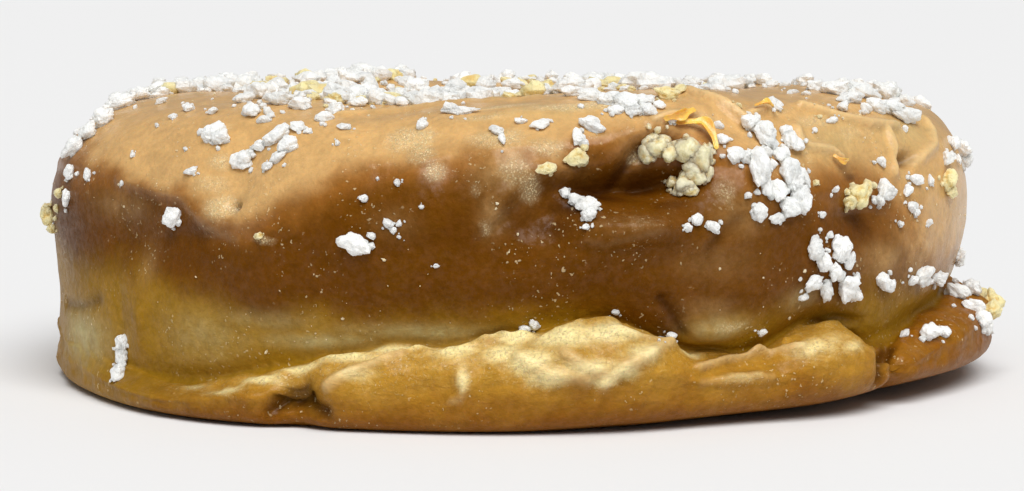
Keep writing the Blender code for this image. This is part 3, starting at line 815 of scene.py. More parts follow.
def place_at_height(size, azimuth, height):
    """Where the outside of the section, from its nose to its crown, first reaches each height."""
    tries = np.linspace(NOSE, CROWN, PLACE_TRIES)
    rise = bare_crust(size, *np.broadcast_arrays(azimuth[:, None], tries[None]))[..., 2]
    return tries[np.argmax(rise >= np.minimum(height, rise.max(axis=1) - 0.1 * MM)[:, None], axis=1)]


def place_at_radius(size, azimuth, radius):
    """Where the top of the section, from its shoulder to its throat, first comes in to each radius."""
    tries = np.linspace(SHOULDER, THROAT_HIGH, PLACE_TRIES)
    spots = bare_crust(size, *np.broadcast_arrays(azimuth[:, None], tries[None]))
    reach = np.hypot(spots[..., 0] - RING_AXIS_X, spots[..., 1])
    return tries[np.argmax(reach <= radius[:, None], axis=1)]


def back_lumps():
    """Lumps and hollows by turns round the side that doesn't show, at drawn places and sizes."""
    draw = np.random.default_rng(BACK_SEED)
    lumps = []
    for index in range(BACK_LUMPS):
        azimuth = BACK_FROM + (BACK_TO - BACK_FROM) * (index + draw.uniform(0.2, 0.8)) / BACK_LUMPS
        rise = draw.uniform(0.7, 1.5) if index % 2 else -draw.uniform(0.8, 1.7)
        lumps.append((azimuth, draw.uniform(15, 23), draw.uniform(3.5, 7), draw.uniform(2, 5), rise))
    return lumps


def bell(points, middle, azimuth, half_round, half_up):
    """A bell over the points about a middle, with its own half-width round the ring and half-height."""
    away = points - middle
    turn = np.radians(azimuth)
    level = np.array((np.cos(turn), np.sin(turn), 0.0))
    beside = away @ level
    above = np.linalg.norm(away - beside[..., None] * level, axis=-1)
    return np.exp(-((beside / half_round) ** 2 + (above / half_up) ** 2))


@functools.cache
def placed_lumps(size):
    """Middle, azimuth, half-width, half-height and rise of each lump of the wall, in metres."""
    azimuth, height, half_round, half_up, amount = np.array((*WALL_LUMPS, *back_lumps()), float).T
    middles = bare_crust(size, azimuth, place_at_height(size, azimuth, height * MM))
    return list(zip(middles, azimuth, half_round * MM, half_up * MM, amount * MM))


@functools.cache
def placed_patches(size, patches):
    """The same for patches that are given by the photograph's pixels, with a strength as the rise."""
    azimuths, places = spots_in_photo(size, [patch[:2] for patch in patches])
    middles = bare_crust(size, azimuths, places)
    _, _, across, down, strengths = np.array(patches, float).T
    scales = photo_pixels(size, middles)[2] / EYE_FOCAL
    across = across * scales / np.maximum(np.cos(np.radians(azimuths)), LEAST_TURN)
    return list(zip(middles, azimuths, across, down * scales, strengths))


def rise_of(points, lumps):
    """How far lumps raise each point: the sum of a bell for each."""
    return sum(amount * bell(points, *where) for *where, amount in lumps)


def crease_line(azimuth):
    """The place along the section where the lip's ragged upper edge lies."""
    turn = np.radians(azimuth)
    circle = np.stack((np.cos(turn), np.sin(turn), np.zeros_like(turn)), axis=-1) * 46 * MM
    return CREASE - 0.12 + named_noise(circle, EDGE_WANDER) + named_noise(circle, EDGE_NICKS)


def fine_rise(points, azimuth, place):
    """Relief too fine for the solid: torn dough on the lip, its crease, and ripples in the glaze."""
    edge = crease_line(azimuth)
    outside = smooth_step(place, HEEL, HEEL + 0.6) * (1 - smooth_step(place, THROAT, THROAT_LOW))
    lip = smooth_step(place, HEEL, HEEL + 0.8) * (1 - smooth_step(place, edge - 0.1, edge + 0.1))
    fold = round_the_ring(LIP_FOLD, azimuth) / MM / 2.0
    torn = named_noise(points, TORN_LUMPS) + np.abs(named_noise(points, TORN_RIDGES))
    tuck = TUCK_LEAST + TUCK_MORE * share_of(swells(CREASE_SHADE, azimuth))
    crease = -tuck * np.clip(fold - 0.2, 0, 1.3) * np.exp(-(((place - edge - 0.12) / 0.2) ** 2))
    ragged = 1 + named_noise(points, EDGE_CURL)
    curl = CURL_RISE * ragged * np.clip(fold, 0.0, 1.2) * np.exp(-(((place - edge + 0.26) / 0.24) ** 2))
    light = smooth_step(points[..., 2] - round_the_ring(LIGHT_EDGE, azimuth), -0.5 * MM, 0.6 * MM)
    thick = GLAZE_THICKNESS * light * (place > CREASE)
    uneven = named_noise(points, DENTS) + named_noise(points, RIPPLES)
    return MM * outside * (lip * torn + crease + curl + thick + uneven * (1 - lip))


@functools.cache
def wrinkle_stretches(size):
    """Both ends, the rise and the half-width of each straight stretch of the wrinkles, in metres."""
    stretches = []
    for route, rise, half_width in WRINKLES:
        corners = bare_crust(size, *spots_in_photo(size, route))
        stretches += [(*ends, rise * MM, half_width * MM) for ends in zip(corners[:-1], corners[1:])]
    return stretches


def wrinkle_rise(size, points):
    """How far the wrinkles raise each point: a narrow bell of the distance to the nearest stretch."""
    rises, falls = np.zeros(points.shape[:-1]), np.zeros(points.shape[:-1])
    for start, end, rise, half_width in wrinkle_stretches(size):
        ahead = end - start
        share = np.clip((points - start) @ ahead / (ahead @ ahead), 0, 1)
        away = np.linalg.norm(points - start - share[..., None] * ahead, axis=-1)
        height = rise * np.exp(-((away / half_width) ** 2))
        rises, falls = np.maximum(rises, height), np.minimum(falls, height)
    return rises + falls


@functools.cache
def film_line(size):
    """The azimuths and the places of the torn edge of the glaze, sorted by azimuth."""
    azimuths, places = spots_in_photo(size, FILM_EDGE)
    order = np.argsort(azimuths)
    return azimuths[order], places[order]


def past_film(size, points, azimuth, place):
    """How far up past the hanging glaze's ragged edge a point is, and 1 to 0 towards that edge's ends."""
    azimuths, places = film_line(size)
    first, last = azimuths[0], azimuths[-1]
    past = place - np.interp(azimuth, azimuths, places) + named_noise(points, FILM_WANDER)
    inside = smooth_step(azimuth, first, first + 3) * (1 - smooth_step(azimuth, last - 2, last + 2))
    return past, inside * (place < CROWN)


def film_rise(size, points, azimuth, place):
    """The hanging glaze: a thick edge that thins upwards, and a groove tucked in under it."""
    past, inside = past_film(size, points, azimuth, place)
    film = FILM_THICKNESS * smooth_step(past, -0.015, 0.035) * np.exp(-((np.maximum(past, 0) / 0.8) ** 2))
    deep = smooth_step(azimuth, FILM_DEEP_FROM, FILM_DEEP_TO)
    groove = FILM_GROOVE * (0.2 + 0.8 * deep) * np.exp(-(((past + 0.12) / 0.11) ** 2))
    return inside * (film - groove * (1 - smooth_step(past, -0.03, 0.02)))


def crust(size, azimuth, place):
    """The finished surface: the bare ring, raised along its normals by lumps and fine relief."""
    bare = bare_crust(size, azimuth, place)
    outward = frame_on(bare_crust, size, azimuth, place)[2]
    rise = rise_of(bare, placed_lumps(size)) + fine_rise(bare, azimuth, place)
    rise = rise + MM * rise_of(bare, placed_patches(size, FINE_LUMPS)) + film_rise(size, bare, azimuth, place)
    rise = rise + wrinkle_rise(size, bare)
    spots = bare + outward * rise[..., None]
    spots[..., 2] = np.maximum(spots[..., 2], 0.0)
    return np.where(bare[..., 2:] > 0.0, spots, bare)


def photo_pixels(size, points):
    """Where points show in the photograph: across, down, and their distance along the view."""
    away = points - np.array((RING_AXIS_X + size.eye_offset, -size.eye_distance, size.eye_height))
    depth = away @ np.array((0.0, math.cos(EYE_PITCH), -math.sin(EYE_PITCH)))
    rise = away @ np.array((0.0, math.sin(EYE_PITCH), math.cos(EYE_PITCH)))
    across = PHOTO_WIDTH / 2 + EYE_FOCAL * away[..., 0] / depth
    return across, PHOTO_HEIGHT / 2 - EYE_FOCAL * rise / depth, depth


@functools.cache
def crust_in_photo(size):
    """Azimuth, place and photograph pixel of close points all over the crust, without fine relief."""
    azimuths = np.arange(-180.0, 180.0, CLOSE_ROUND)
    places = np.arange(HEEL + 0.5, THROAT_HIGH, CLOSE_ALONG)
    azimuth, place = (values.ravel() for values in np.meshgrid(azimuths, places))
    points = bare_crust(size, azimuth, place)
    outward = frame_on(bare_crust, size, azimuth, place)[2]
    points = points + outward * rise_of(points, placed_lumps(size))[:, None]
    return azimuth, place, *photo_pixels(size, points)


def spots_in_photo(size, pixels):
    """The azimuth and the place of what shows at each pixel: the nearest crust close enough to it."""
    azimuth, place, across, down, depth = crust_in_photo(size)
    found = []
    for pixel_across, pixel_down in pixels:
        miss = np.hypot(across - pixel_across, down - pixel_down)
        close = np.flatnonzero(miss <= max(PIXEL_REACH, miss.min() + 0.5))
        found.append(close[np.argmin(depth[close])])
    return azimuth[found], place[found]


def patch_mask(size, points, patches):
    """0 to 1 over the points: the strongest of bells set where the photograph shows each patch."""
    bells = [strength * bell(points, *where) for *where, strength in placed_patches(size, patches)]
    return np.max(bells, axis=0)


def mesh_object(name, points, faces, attributes, flat=False):
    """An object at the origin from arrays of points and faces, with a number for each point by name."""
    mesh = bpy.data.meshes.new(name)
    corners = faces.shape[1]
    mesh.vertices.add(len(points))
    mesh.vertices.foreach_set("co", points.astype(np.float32).ravel())
    mesh.loops.add(faces.size)
    mesh.loops.foreach_set("vertex_index", faces.astype(np.int32).ravel())
    mesh.polygons.add(len(faces))
    mesh.polygons.foreach_set("loop_start", np.arange(len(faces), dtype=np.int32) * corners)
    mesh.update(calc_edges=True)
    for attribute, values in attributes.items():
        layer = mesh.attributes.new(attribute, "FLOAT", "POINT")
        layer.data.foreach_set("value", values.astype(np.float32).ravel())
    if flat:
        mesh.shade_flat()
    else:
        mesh.shade_smooth()
    piece = bpy.data.objects.new(name, mesh)
    bpy.context.scene.collection.objects.link(piece)
    return piece


def finish_piece(piece, material):
    """Gives a piece its material, and lets it ride on and stand for the solid."""
    piece.data.materials.append(material)
    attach(piece, "root")
    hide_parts("doughnut")


def closed_grid_faces(rows, columns):
    """Quads between neighbouring points of a grid that closes on itself both ways."""
    index = np.arange(rows * columns).reshape(rows, columns)
    beside = np.roll(index, -1, axis=1)
    corners = index, beside, np.roll(beside, -1, axis=0), np.roll(index, -1, axis=0)
    return np.stack(corners, axis=-1).reshape(-1, 4)


def dough_grid():
    """The azimuths and places of the ring's grid, closest together on the shown side."""
    front = np.linspace(FRONT_FROM, FRONT_TO, FRONT_COLUMNS, endpoint=False)
    back = np.linspace(FRONT_TO, FRONT_FROM + 360, BACK_COLUMNS, endpoint=False)
    places = np.concatenate([point + np.arange(rows) / rows for point, rows in enumerate(ROWS)])
    return np.meshgrid(np.concatenate((front, back)), places)


def dough_paint(size, points, azimuth, place):
    """The masks that the dough's material mixes its colours by, each 0 to 1 at every point, some of them
    painted light and shade.
    """
    bare = bare_crust(size, azimuth, place)
    height = points[..., 2]
    blotch = named_noise(points, PAINT_BLOTCH)
    wander = (blotch + named_noise(points, PAINT_STREAK)) * MM
    fold = smooth_step(round_the_ring(LIP_FOLD, azimuth), 0.3 * MM, 1.3 * MM)
    edge = crease_line(azimuth)
    glazed_lip = 1 - share_of(round_the_ring(LIP_BARE, azimuth))
    above = np.maximum((1 - fold) * smooth_step(place, HEEL, LIP_TOP), glazed_lip)
    above = np.maximum(above, smooth_step(place, edge - 0.06, edge + 0.10))
    inside = smooth_step(place, CROWN_IN + 0.3, THROAT_HIGH)
    light_edge = round_the_ring(LIGHT_EDGE, azimuth) * (1 - inside) + 0.68 * size.crown_height * inside
    rise = (height - light_edge + wander) / (1 - np.clip(swells(SHARP_STRETCHES, azimuth) / MM, 0, 0.8))
    past, near_film = past_film(size, points, azimuth, place)
    # Painted shade, in part browned crust: the wrinkles' grooves, the dark patches, and a painted shadow in
    # the groove under the hanging glaze
    grooves = np.clip(-wrinkle_rise(size, bare) / (0.8 * MM), 0, 0.7)
    hollow = np.maximum(patch_mask(size, bare, BROWN_AND_SHADE_PATCHES), grooves)
    tucked = near_film * (0.25 + 0.6 * smooth_step(azimuth, FILM_DEEP_FROM, FILM_DEEP_TO))
    band_top = round_the_ring(BAND_TOP, azimuth)
    glaze = smooth_step(height - band_top + wander, -3.2 * MM, 2.8 * MM)
    lip_height = np.clip((height + LIP_BLOTCHES * blotch * MM) / round_the_ring(LIP_EDGE, azimuth), 0.0, 1.0)
    lip_height = lip_height * share_of(round_the_ring(LIP_TONE, azimuth))
    under = 1 - smooth_step(place, FOOT_OUT + 0.6, HEEL + 0.5) + smooth_step(place, THROAT_LOW - 0.4, HEEL_IN)
    shade = share_of(swells(CREASE_SHADE, azimuth))
    return {
        # These two masks pale the glaze from the wall up to the crown: partly thicker glaze, partly painted
        # light on top and painted shade lower down
        "light": smooth_step(rise, -5.0 * MM, 3.0 * MM),
        "warm": smooth_step(rise, -1.0 * MM, 7.0 * MM),
        "glaze": np.maximum(glaze, patch_mask(size, bare, TAN_PATCHES)),
        "above": above,
        "lip_height": lip_height * (1 - np.clip(under, 0, 1)),
        "pale": patch_mask(size, bare, PALE_PATCHES),
        # Painted shadow under the hanging glaze, with the painted shade and browned crust of the hollows
        "deep": np.maximum(hollow, tucked * np.exp(-(((past + 0.14) / 0.12) ** 2))),
        "frost": patch_mask(size, bare, FROST_PATCHES),
        # Torn pale dough and painted highlight on the lip, where painted glints gather too
        "torn": patch_mask(size, bare, LIP_LIGHTS),
        "tan": patch_mask(size, bare, TAN_PATCHES),
        "wrinkle": np.clip((wrinkle_rise(size, bare) - 0.15 * MM) / (0.5 * MM), 0, 1),
        # Painted shade in the crease above the lip
        "crease": shade * fold * np.exp(-(((place - edge - 0.14) / 0.16) ** 2)),
    }


def feed(tree, socket, value):
    """Links a socket to an output, or sets its plain value."""
    if isinstance(value, bpy.types.NodeSocket):
        tree.links.new(value, socket)
    elif socket.type == "RGBA":
        socket.default_value = (*value, 1.0)
    else:
        socket.default_value = value


def mixed(tree, factor, first, second, blend="MIX"):
    """A colour between two, by a factor."""
    node = tree.nodes.new("ShaderNodeMix")
    node.data_type, node.blend_type = "RGBA", blend
    for socket, value in zip((node.inputs[0], node.inputs[6], node.inputs[7]), (factor, first, second)):
        feed(tree, socket, value)
    return node.outputs[2]


def maths(tree, operation, *values):
    """One sum on plain numbers, worked out pair by pair from the left."""
    total = values[0]
    for value in values[1:]:
        node = tree.nodes.new("ShaderNodeMath")
        node.operation = operation
        feed(tree, node.inputs[0], total)
        feed(tree, node.inputs[1], value)
        total = node.outputs[0]
    return total


def plus(tree, *values):
    """Numbers added up."""
    return maths(tree, "ADD", *values)


def times(tree, *values):
    """Numbers multiplied together."""
    return maths(tree, "MULTIPLY", *values)


def ranged(tree, value, low, high, to_low=0.0, to_high=1.0):
    """A value carried smoothly from one range to another."""
    node = tree.nodes.new("ShaderNodeMapRange")
    node.interpolation_type = "SMOOTHSTEP"
    for socket, part in zip(node.inputs, (value, low, high, to_low, to_high)):
        feed(tree, socket, part)
    return node.outputs[0]


def attribute(tree, name):
    """A number that the mesh holds at each point."""
    node = tree.nodes.new("ShaderNodeAttribute")
    node.attribute_name = name
    return node.outputs["Fac"]


def object_place(tree):
    """The point's own place in the piece, in metres."""
    return tree.nodes.new("ShaderNodeTexCoord").outputs["Object"]


def noise(tree, per_metre, detail, roughness, distortion=0.0, place=None):
    """Noise with about so many bumps for each metre, at the point's own place or at another."""
    node = tree.nodes.new("ShaderNodeTexNoise")
    feed(tree, node.inputs["Vector"], object_place(tree) if place is None else place)
    names = "Scale", "Detail", "Roughness", "Distortion"
    for name, value in zip(names, (per_metre, detail, roughness, distortion)):
        feed(tree, node.inputs[name], value)
    return node.outputs["Fac"]


def new_group(name, inputs, output):
    """An empty shader node group with named number inputs and one number output."""
    group = bpy.data.node_groups.new(name, "ShaderNodeTree")
    for label, default in inputs:
        socket = group.interface.new_socket(label, in_out="INPUT", socket_type="NodeSocketFloat")
        socket.default_value = default
    group.interface.new_socket(output, in_out="OUTPUT", socket_type="NodeSocketFloat")
    return group, group.nodes.new("NodeGroupInput").outputs, group.nodes.new("NodeGroupOutput").inputs


def grain_group():
    """The height of a fine grain: two sizes of noise added."""
    if "fine_grain" in bpy.data.node_groups:
        return bpy.data.node_groups["fine_grain"]
    group, inputs, outputs = new_group("fine_grain", (("Per metre", 900.0), ("Coarse", 0.5)), "Height")
    fine = noise(group, inputs["Per metre"], 4.0, 0.65)
    coarse = noise(group, times(group, inputs["Per metre"], 0.3), 2.0, 0.5)
    feed(group, outputs["Height"], plus(group, fine, times(group, coarse, inputs["Coarse"])))
    return group


def grouped(tree, group, **values):
    """A group placed in a material with its own values."""
    node = tree.nodes.new("ShaderNodeGroup")
    node.node_tree = group
    for name, value in values.items():
        feed(tree, node.inputs[name.replace("_", " ").capitalize()], value)
    return node.outputs[0]


def bumped(tree, height, distance, strength=1.0):
    """A normal from a height, where a height of one stands a given distance proud."""
    node = tree.nodes.new("ShaderNodeBump")
    feed(tree, node.inputs["Strength"], strength)
    feed(tree, node.inputs["Distance"], distance)
    feed(tree, node.inputs["Height"], height)
    return node.outputs["Normal"]


def new_material(name, **values):
    """A material whose shader has plain values set on its own sockets."""
    material = bpy.data.materials.new(name)
    material.use_nodes = True
    tree = material.node_tree
    shader = tree.nodes["Principled BSDF"]
    for label, value in values.items():
        feed(tree, shader.inputs[label.replace("_", " ")], value)
    return material, tree, shader


def toned(tree, colour, value, low, high, darkest, lightest):
    """A colour made darker and lighter by a number, as it goes from low to high."""
    strength = ranged(tree, value, low, high, darkest, lightest)
    grey = tree.nodes.new("ShaderNodeCombineColor")
    for socket in grey.inputs:
        feed(tree, socket, strength)
    return mixed(tree, 1.0, colour, grey.outputs[0], "MULTIPLY")


def fibres(tree):
    """Noise drawn out into short strands that slant along the lip, as torn dough has."""
    turned = tree.nodes.new("ShaderNodeMapping")
    feed(tree, turned.inputs["Vector"], object_place(tree))
    turned.inputs["Rotation"].default_value = (0.0, -STRAND_SLANT, 0.0)
    turned.inputs["Scale"].default_value = STRAND_STRETCH
    return noise(tree, *STRANDS, place=turned.outputs["Vector"])


def broken(tree, mask, ragged, share, low, high):
    """One of the mesh's masks, its edge broken up by a share of some noise."""
    return ranged(tree, plus(tree, attribute(tree, mask), times(tree, ragged, share)), low, high)


def wall_colour(tree, colours, mottle, blotches):
    """The glaze, dark where it soaks the wall and pale where it lies thick, in part painted shade below and
    painted light on top, and the band under it.
    """
    patchy = ranged(tree, noise(tree, *PATCHY), 0.35, 0.65, 0.55, 1.0)
    wall = mixed(tree, broken(tree, "light", mottle, 0.5, 0.2, 1.3), colours.glaze_dark, colours.glaze_mid)
    wall = mixed(tree, broken(tree, "warm", mottle, 0.4, 0.2, 1.2), wall, colours.glaze_light)
    wall = mixed(tree, times(tree, attribute(tree, "tan"), patchy), wall, colours.glaze_light)
    wall = mixed(tree, broken(tree, "glaze", mottle, 0.5, 0.2, 1.3), colours.band, wall)
    wall = mixed(tree, times(tree, attribute(tree, "pale"), patchy), wall, colours.pale)
    return toned(tree, wall, blotches, 0.3, 0.7, 0.88, 1.08)


def lip_colour(tree, colours, mottle, blotches, fibre):
    """The folded lip, brown at its foot, tan above, and torn pale in strands and patches, the patches in part
    painted highlight.
    """
    rise = plus(tree, attribute(tree, "lip_height"), times(tree, mottle, 0.7))
    lip = mixed(tree, ranged(tree, rise, 0.3, 1.25), colours.lip_foot, colours.lip_middle)
    strands = times(tree, plus(tree, fibre, blotches), 0.45)
    torn = plus(tree, times(tree, rise, 0.45), times(tree, attribute(tree, "torn"), 0.8), strands)
    lip = mixed(tree, ranged(tree, torn, 0.9, 1.72), lip, colours.lip_top)
    return toned(tree, lip, fibre, 0.25, 0.75, 0.86, 1.1)


def sugar_and_glints(tree, mottle, blotches, on_lip, skin):
    """How much sugar colour covers a point: sugar specks, frosted patches broken up by painted sparkle,
    painted glints on the lip, and painted highlights on the wrinkles' ridges.
    """
    specks = ranged(tree, noise(tree, *SPECKS), 0.66, 0.72)
    specks = times(tree, specks, ranged(tree, noise(tree, *SPECK_CLUSTERS), 0.48, 0.62), 0.4)
    ragged = times(tree, plus(tree, mottle, blotches), 0.5)
    painted_sparkle = ranged(tree, ranged(tree, noise(tree, *SPARKLE), 0.5, 0.62), 0.0, 1.0, 0.3, 0.95)
    frost = times(tree, ranged(tree, plus(tree, attribute(tree, "frost"), ragged), 0.75, 1.35), painted_sparkle)
    high = ranged(tree, attribute(tree, "lip_height"), 0.45, 1.0, 0.0, 0.3)
    glisten = maths(tree, "MAXIMUM", times(tree, attribute(tree, "torn"), 0.75), high)
    painted_glints = times(tree, ranged(tree, noise(tree, *GLINTS), 0.56, 0.66), on_lip, glisten)
    return maths(tree, "MAXIMUM", specks, frost, painted_glints, times(tree, skin, 0.5))


def dough_material(colours):
    """Glazed, fried dough: colours mixed by the mesh's masks and broken up by noise, painted light, shade and
    glints among them, and a wet gloss.
    """
    material, tree, shader = new_material("glazed_dough", **DOUGH_FINISH)
    shader.inputs["Subsurface Radius"].default_value = DOUGH_GLOW
    mottle, fine, blotches = (noise(tree, *kind) for kind in (MOTTLE, FINE, BLOTCHES))
    fibre = fibres(tree)
    above = attribute(tree, "above")
    on_lip = ranged(tree, above, 0.0, 1.0, 1.0, 0.0)
    # The wrinkles' ridges: relief, and a painted highlight in the sugar colour
    skin = times(tree, attribute(tree, "wrinkle"), 0.6)
    lip = lip_colour(tree, colours, mottle, blotches, fibre)
    colour = mixed(tree, above, lip, wall_colour(tree, colours, mottle, blotches))
    # Painted shade in folds and hollows, in part browned crust
    colour = mixed(tree, attribute(tree, "deep"), colour, colours.hollow)
    # Painted shade in the crease above the lip, in the dark glaze's colour
    colour = mixed(tree, times(tree, attribute(tree, "crease"), 0.8), colour, colours.glaze_dark)
    # Sugar, painted glints and painted highlights, all in the sugar colour
    sugar = sugar_and_glints(tree, mottle, blotches, on_lip, skin)
    colour = mixed(tree, sugar, colour, colours.sugar)
    feed(tree, shader.inputs["Base Color"], toned(tree, colour, fine, 0.25, 0.75, 0.9, 1.08))
    gloss = times(tree, attribute(tree, "light"), above)
    wet = plus(tree, times(tree, ranged(tree, fine, 0.4, 0.65), 0.22), times(tree, on_lip, 0.06))
    feed(tree, shader.inputs["Coat Weight"], plus(tree, ranged(tree, gloss, 0.0, 1.0, 0.02, 0.33), wet))
    feed(tree, shader.inputs["Roughness"], ranged(tree, gloss, 0.0, 1.0, 0.5, 0.36))
    grain = grouped(tree, grain_group(), per_metre=1600.0, coarse=0.8)
    relief = plus(tree, grain, sugar, times(tree, fibre, on_lip, 0.9), skin)
    feed(tree, shader.inputs["Normal"], bumped(tree, relief, DOUGH_RELIEF))
    return material


def crumble_material(name, top, shade, **finish):
    """Pressed crumble: lighter on its knobs and grains, with painted shade in its crevices, each crumb a
    little its own tone.
    """
    material, tree, shader = new_material(name, **{**CRUMBLE_FINISH, **finish})
    shader.inputs["Subsurface Radius"].default_value = CRUMBLE_GLOW
    colour = mixed(tree, broken(tree, "knob", noise(tree, *PORES), 0.7, 0.35, 1.2), shade, top)
    colour = toned(tree, colour, attribute(tree, "tone"), 0.0, 1.0, 0.93, 1.07)
    feed(tree, shader.inputs["Base Color"], colour)
    grain = grouped(tree, grain_group(), per_metre=2900.0, coarse=1.4)
    feed(tree, shader.inputs["Normal"], bumped(tree, grain, CRUMBLE_RELIEF))
    return material


def flake_material(colour):
    """Thin caramel flakes: glossy, a little see-through at their edges."""
    material, tree, shader = new_material("caramel_flakes", **FLAKE_FINISH)
    light = tuple(min(1.0, part * FLAKE_LIGHTER) for part in colour)
    patches = ranged(tree, noise(tree, *FLAKE_PATCHES), 0.35, 0.7)
    feed(tree, shader.inputs["Base Color"], mixed(tree, patches, colour, light))
    grain = grouped(tree, grain_group(), per_metre=1500.0, coarse=0.6)
    feed(tree, shader.inputs["Normal"], bumped(tree, grain, FLAKE_RELIEF))
    return material


def ball_grid(rings, around):
    """Directions over a ball, ring by ring with one point at each pole, and the triangles between."""
    polar = np.pi * np.arange(1, rings) / rings
    turn = 2 * np.pi * np.arange(around) / around
    polar, turn = (values.ravel() for values in np.meshgrid(polar, turn, indexing="ij"))
    middle = np.stack((np.sin(polar) * np.cos(turn), np.sin(polar) * np.sin(turn), np.cos(polar)), axis=-1)
    directions = np.concatenate(([(0.0, 0.0, 1.0)], middle, [(0.0, 0.0, -1.0)]))
    index = 1 + np.arange((rings - 1) * around).reshape(rings - 1, around)
    beside = np.roll(index, -1, axis=1)
    top = np.stack((np.zeros(around, int), index[0], beside[0]), axis=-1)
    bottom = np.stack((np.full(around, len(directions) - 1), beside[-1], index[-1]), axis=-1)
    first = np.stack((index[:-1], index[1:], beside[1:]), axis=-1).reshape(-1, 3)
    second = np.stack((index[:-1], beside[1:], beside[:-1]), axis=-1).reshape(-1, 3)
    return directions, np.concatenate((top, first, second, bottom))


def drawn_directions(draw, count, each):
    """So many directions drawn evenly over the ball for each of many crumbs."""
    ways = draw.normal(size=(count, each, 3))
    return ways / np.linalg.norm(ways, axis=-1, keepdims=True)


def knobbly_reach(directions, draw, count, melted=0.0):
    """How far each of many crumbs reaches in each direction, at most 1, and how far its grains stand out.

    A crumb is a core with a few balls sunk into it: the reach is where a ray from its middle leaves the
    last ball, blended with the other balls by a high power mean so that the valleys are soft. That is
    averaged with the reach to the nearest of some flat cuts, and roughened by noise. Grains then stand
    out all over it: a low dome about each of many drawn directions. Melting takes the cuts and grains away.
    """
    middles = drawn_directions(draw, count, CRUMB_KNOBS)
    middles *= draw.uniform(*KNOB_OUT, size=(count, CRUMB_KNOBS, 1))
    balls = draw.uniform(*KNOB_RADIUS, size=(count, CRUMB_KNOBS))
    along = np.einsum("cki,di->cdk", middles, directions)
    inside = along**2 - (middles**2).sum(axis=-1)[:, None] + (balls**2)[:, None]
    reach = np.maximum(np.where(inside > 0, along + np.sqrt(np.maximum(inside, 0.0)), 0.0), 0.0)
    reach = (CRUMB_CORE**KNOB_POWER + (reach**KNOB_POWER).sum(axis=-1)) ** (1 / KNOB_POWER)
    facing = np.einsum("cki,di->cdk", drawn_directions(draw, count, CRUMB_CUTS), directions)
    cuts = draw.uniform(*CUT_OUT, (count, 1, CRUMB_CUTS)) / np.maximum(facing, 0.3)
    cut_share = CUT_SHARE * (1 - melted)
    reach = (1 - cut_share) * reach + cut_share * np.minimum(cuts.min(axis=-1), 1.2)
    apart = directions[None] + CRUMB_APART * np.arange(count)[:, None, None]
    reach = reach * (1 + named_noise(apart, CRUMB_ROUGHNESS))
    nearest = np.einsum("cki,di->cdk", drawn_directions(draw, count, CRUMB_GRAINS), directions).max(axis=-1)
    domes = 1 - np.clip((1 - nearest) / GRAIN_SPAN, 0, 1)
    reach = reach * (1 + GRAIN_RISE * (1 - melted) * (domes - 0.5))
    return reach / reach.max(axis=1, keepdims=True), domes


def crumb_mesh(size, spots, detail, lift, draw, melted=0.0):
    """Points, faces and masks of crumbs seated on the crust: ball grids scaled by their reach."""
    azimuth, place, half_sizes, turn = spots
    directions, faces = ball_grid(*detail)
    reach, domes = knobbly_reach(directions, draw, len(azimuth), melted)
    local = directions[None] * reach[..., None] * half_sizes[:, None]
    cosine, sine = np.cos(turn)[:, None], np.sin(turn)[:, None]
    beside = local[..., 0] * cosine - local[..., 1] * sine
    above = local[..., 0] * sine + local[..., 1] * cosine
    proud = local[..., 2] + (lift * half_sizes[:, 2])[:, None]
    along, up, outward = (axis[:, None] for axis in frame_on(crust, size, azimuth, place))
    seats = crust(size, azimuth, place)[:, None]
    points = seats + beside[..., None] * along + above[..., None] * up + proud[..., None] * outward
    points[..., 2] = np.maximum(points[..., 2], 0.1 * MM)
    faces = faces[None] + (np.arange(len(azimuth)) * len(directions))[:, None, None]
    # 1 on the knobs and grains, 0 in the crevices, where painted shade falls
    knob = np.clip(0.6 * (reach - 0.4) / 0.4 + 0.4 * domes, 0.0, 1.0)
    tone = np.broadcast_to(draw.uniform(0, 1, len(azimuth))[:, None], knob.shape)
    return points.reshape(-1, 3), faces.reshape(-1, 3), {"knob": knob.ravel(), "tone": tone.ravel()}


def joined(meshes):
    """Several sets of points, faces and masks as one."""
    starts = np.cumsum([0] + [len(mesh[0]) for mesh in meshes])
    points = np.concatenate([mesh[0] for mesh in meshes])
    faces = np.concatenate([mesh[1] + start for mesh, start in zip(meshes, starts)])
    masks = {name: np.concatenate([mesh[2][name] for mesh in meshes]) for name in meshes[0][2]}
    return points, faces, masks


class DOUGHNUT_OT_dough(Operator):
    """Makes the ring of dough with its glaze"""

    bl_idname = "doughnut.dough"
    bl_label = "Make dough"

    def execute(self, context):
        size = settings(context.scene)
        azimuth, place = dough_grid()
        points = crust(size, azimuth, place)
        paint = dough_paint(size, points, azimuth, place)
        faces = closed_grid_faces(*azimuth.shape)
        piece = mesh_object("dough", points.reshape(-1, 3), faces, paint)
        finish_piece(piece, dough_material(size))
        return {"FINISHED"}


def shown_crumbs(size, table, draw):
    """Azimuth, place, half-sizes and turn of the crumbs that the photograph shows one by one."""
    table = np.array(table, float)
    azimuth, place = spots_in_photo(size, table[:, :2])
    depth = photo_pixels(size, bare_crust(size, azimuth, place))[2]
    half = table[:, 2:4] * (depth / EYE_FOCAL)[:, None] * CRUMB_SPREAD
    thickness = CRUMB_THICKNESS * half.min(axis=1) * draw.uniform(*THICKNESS_RANGE, len(table))
    return azimuth, place, np.column_stack((half, thickness)), np.radians(table[:, 4])


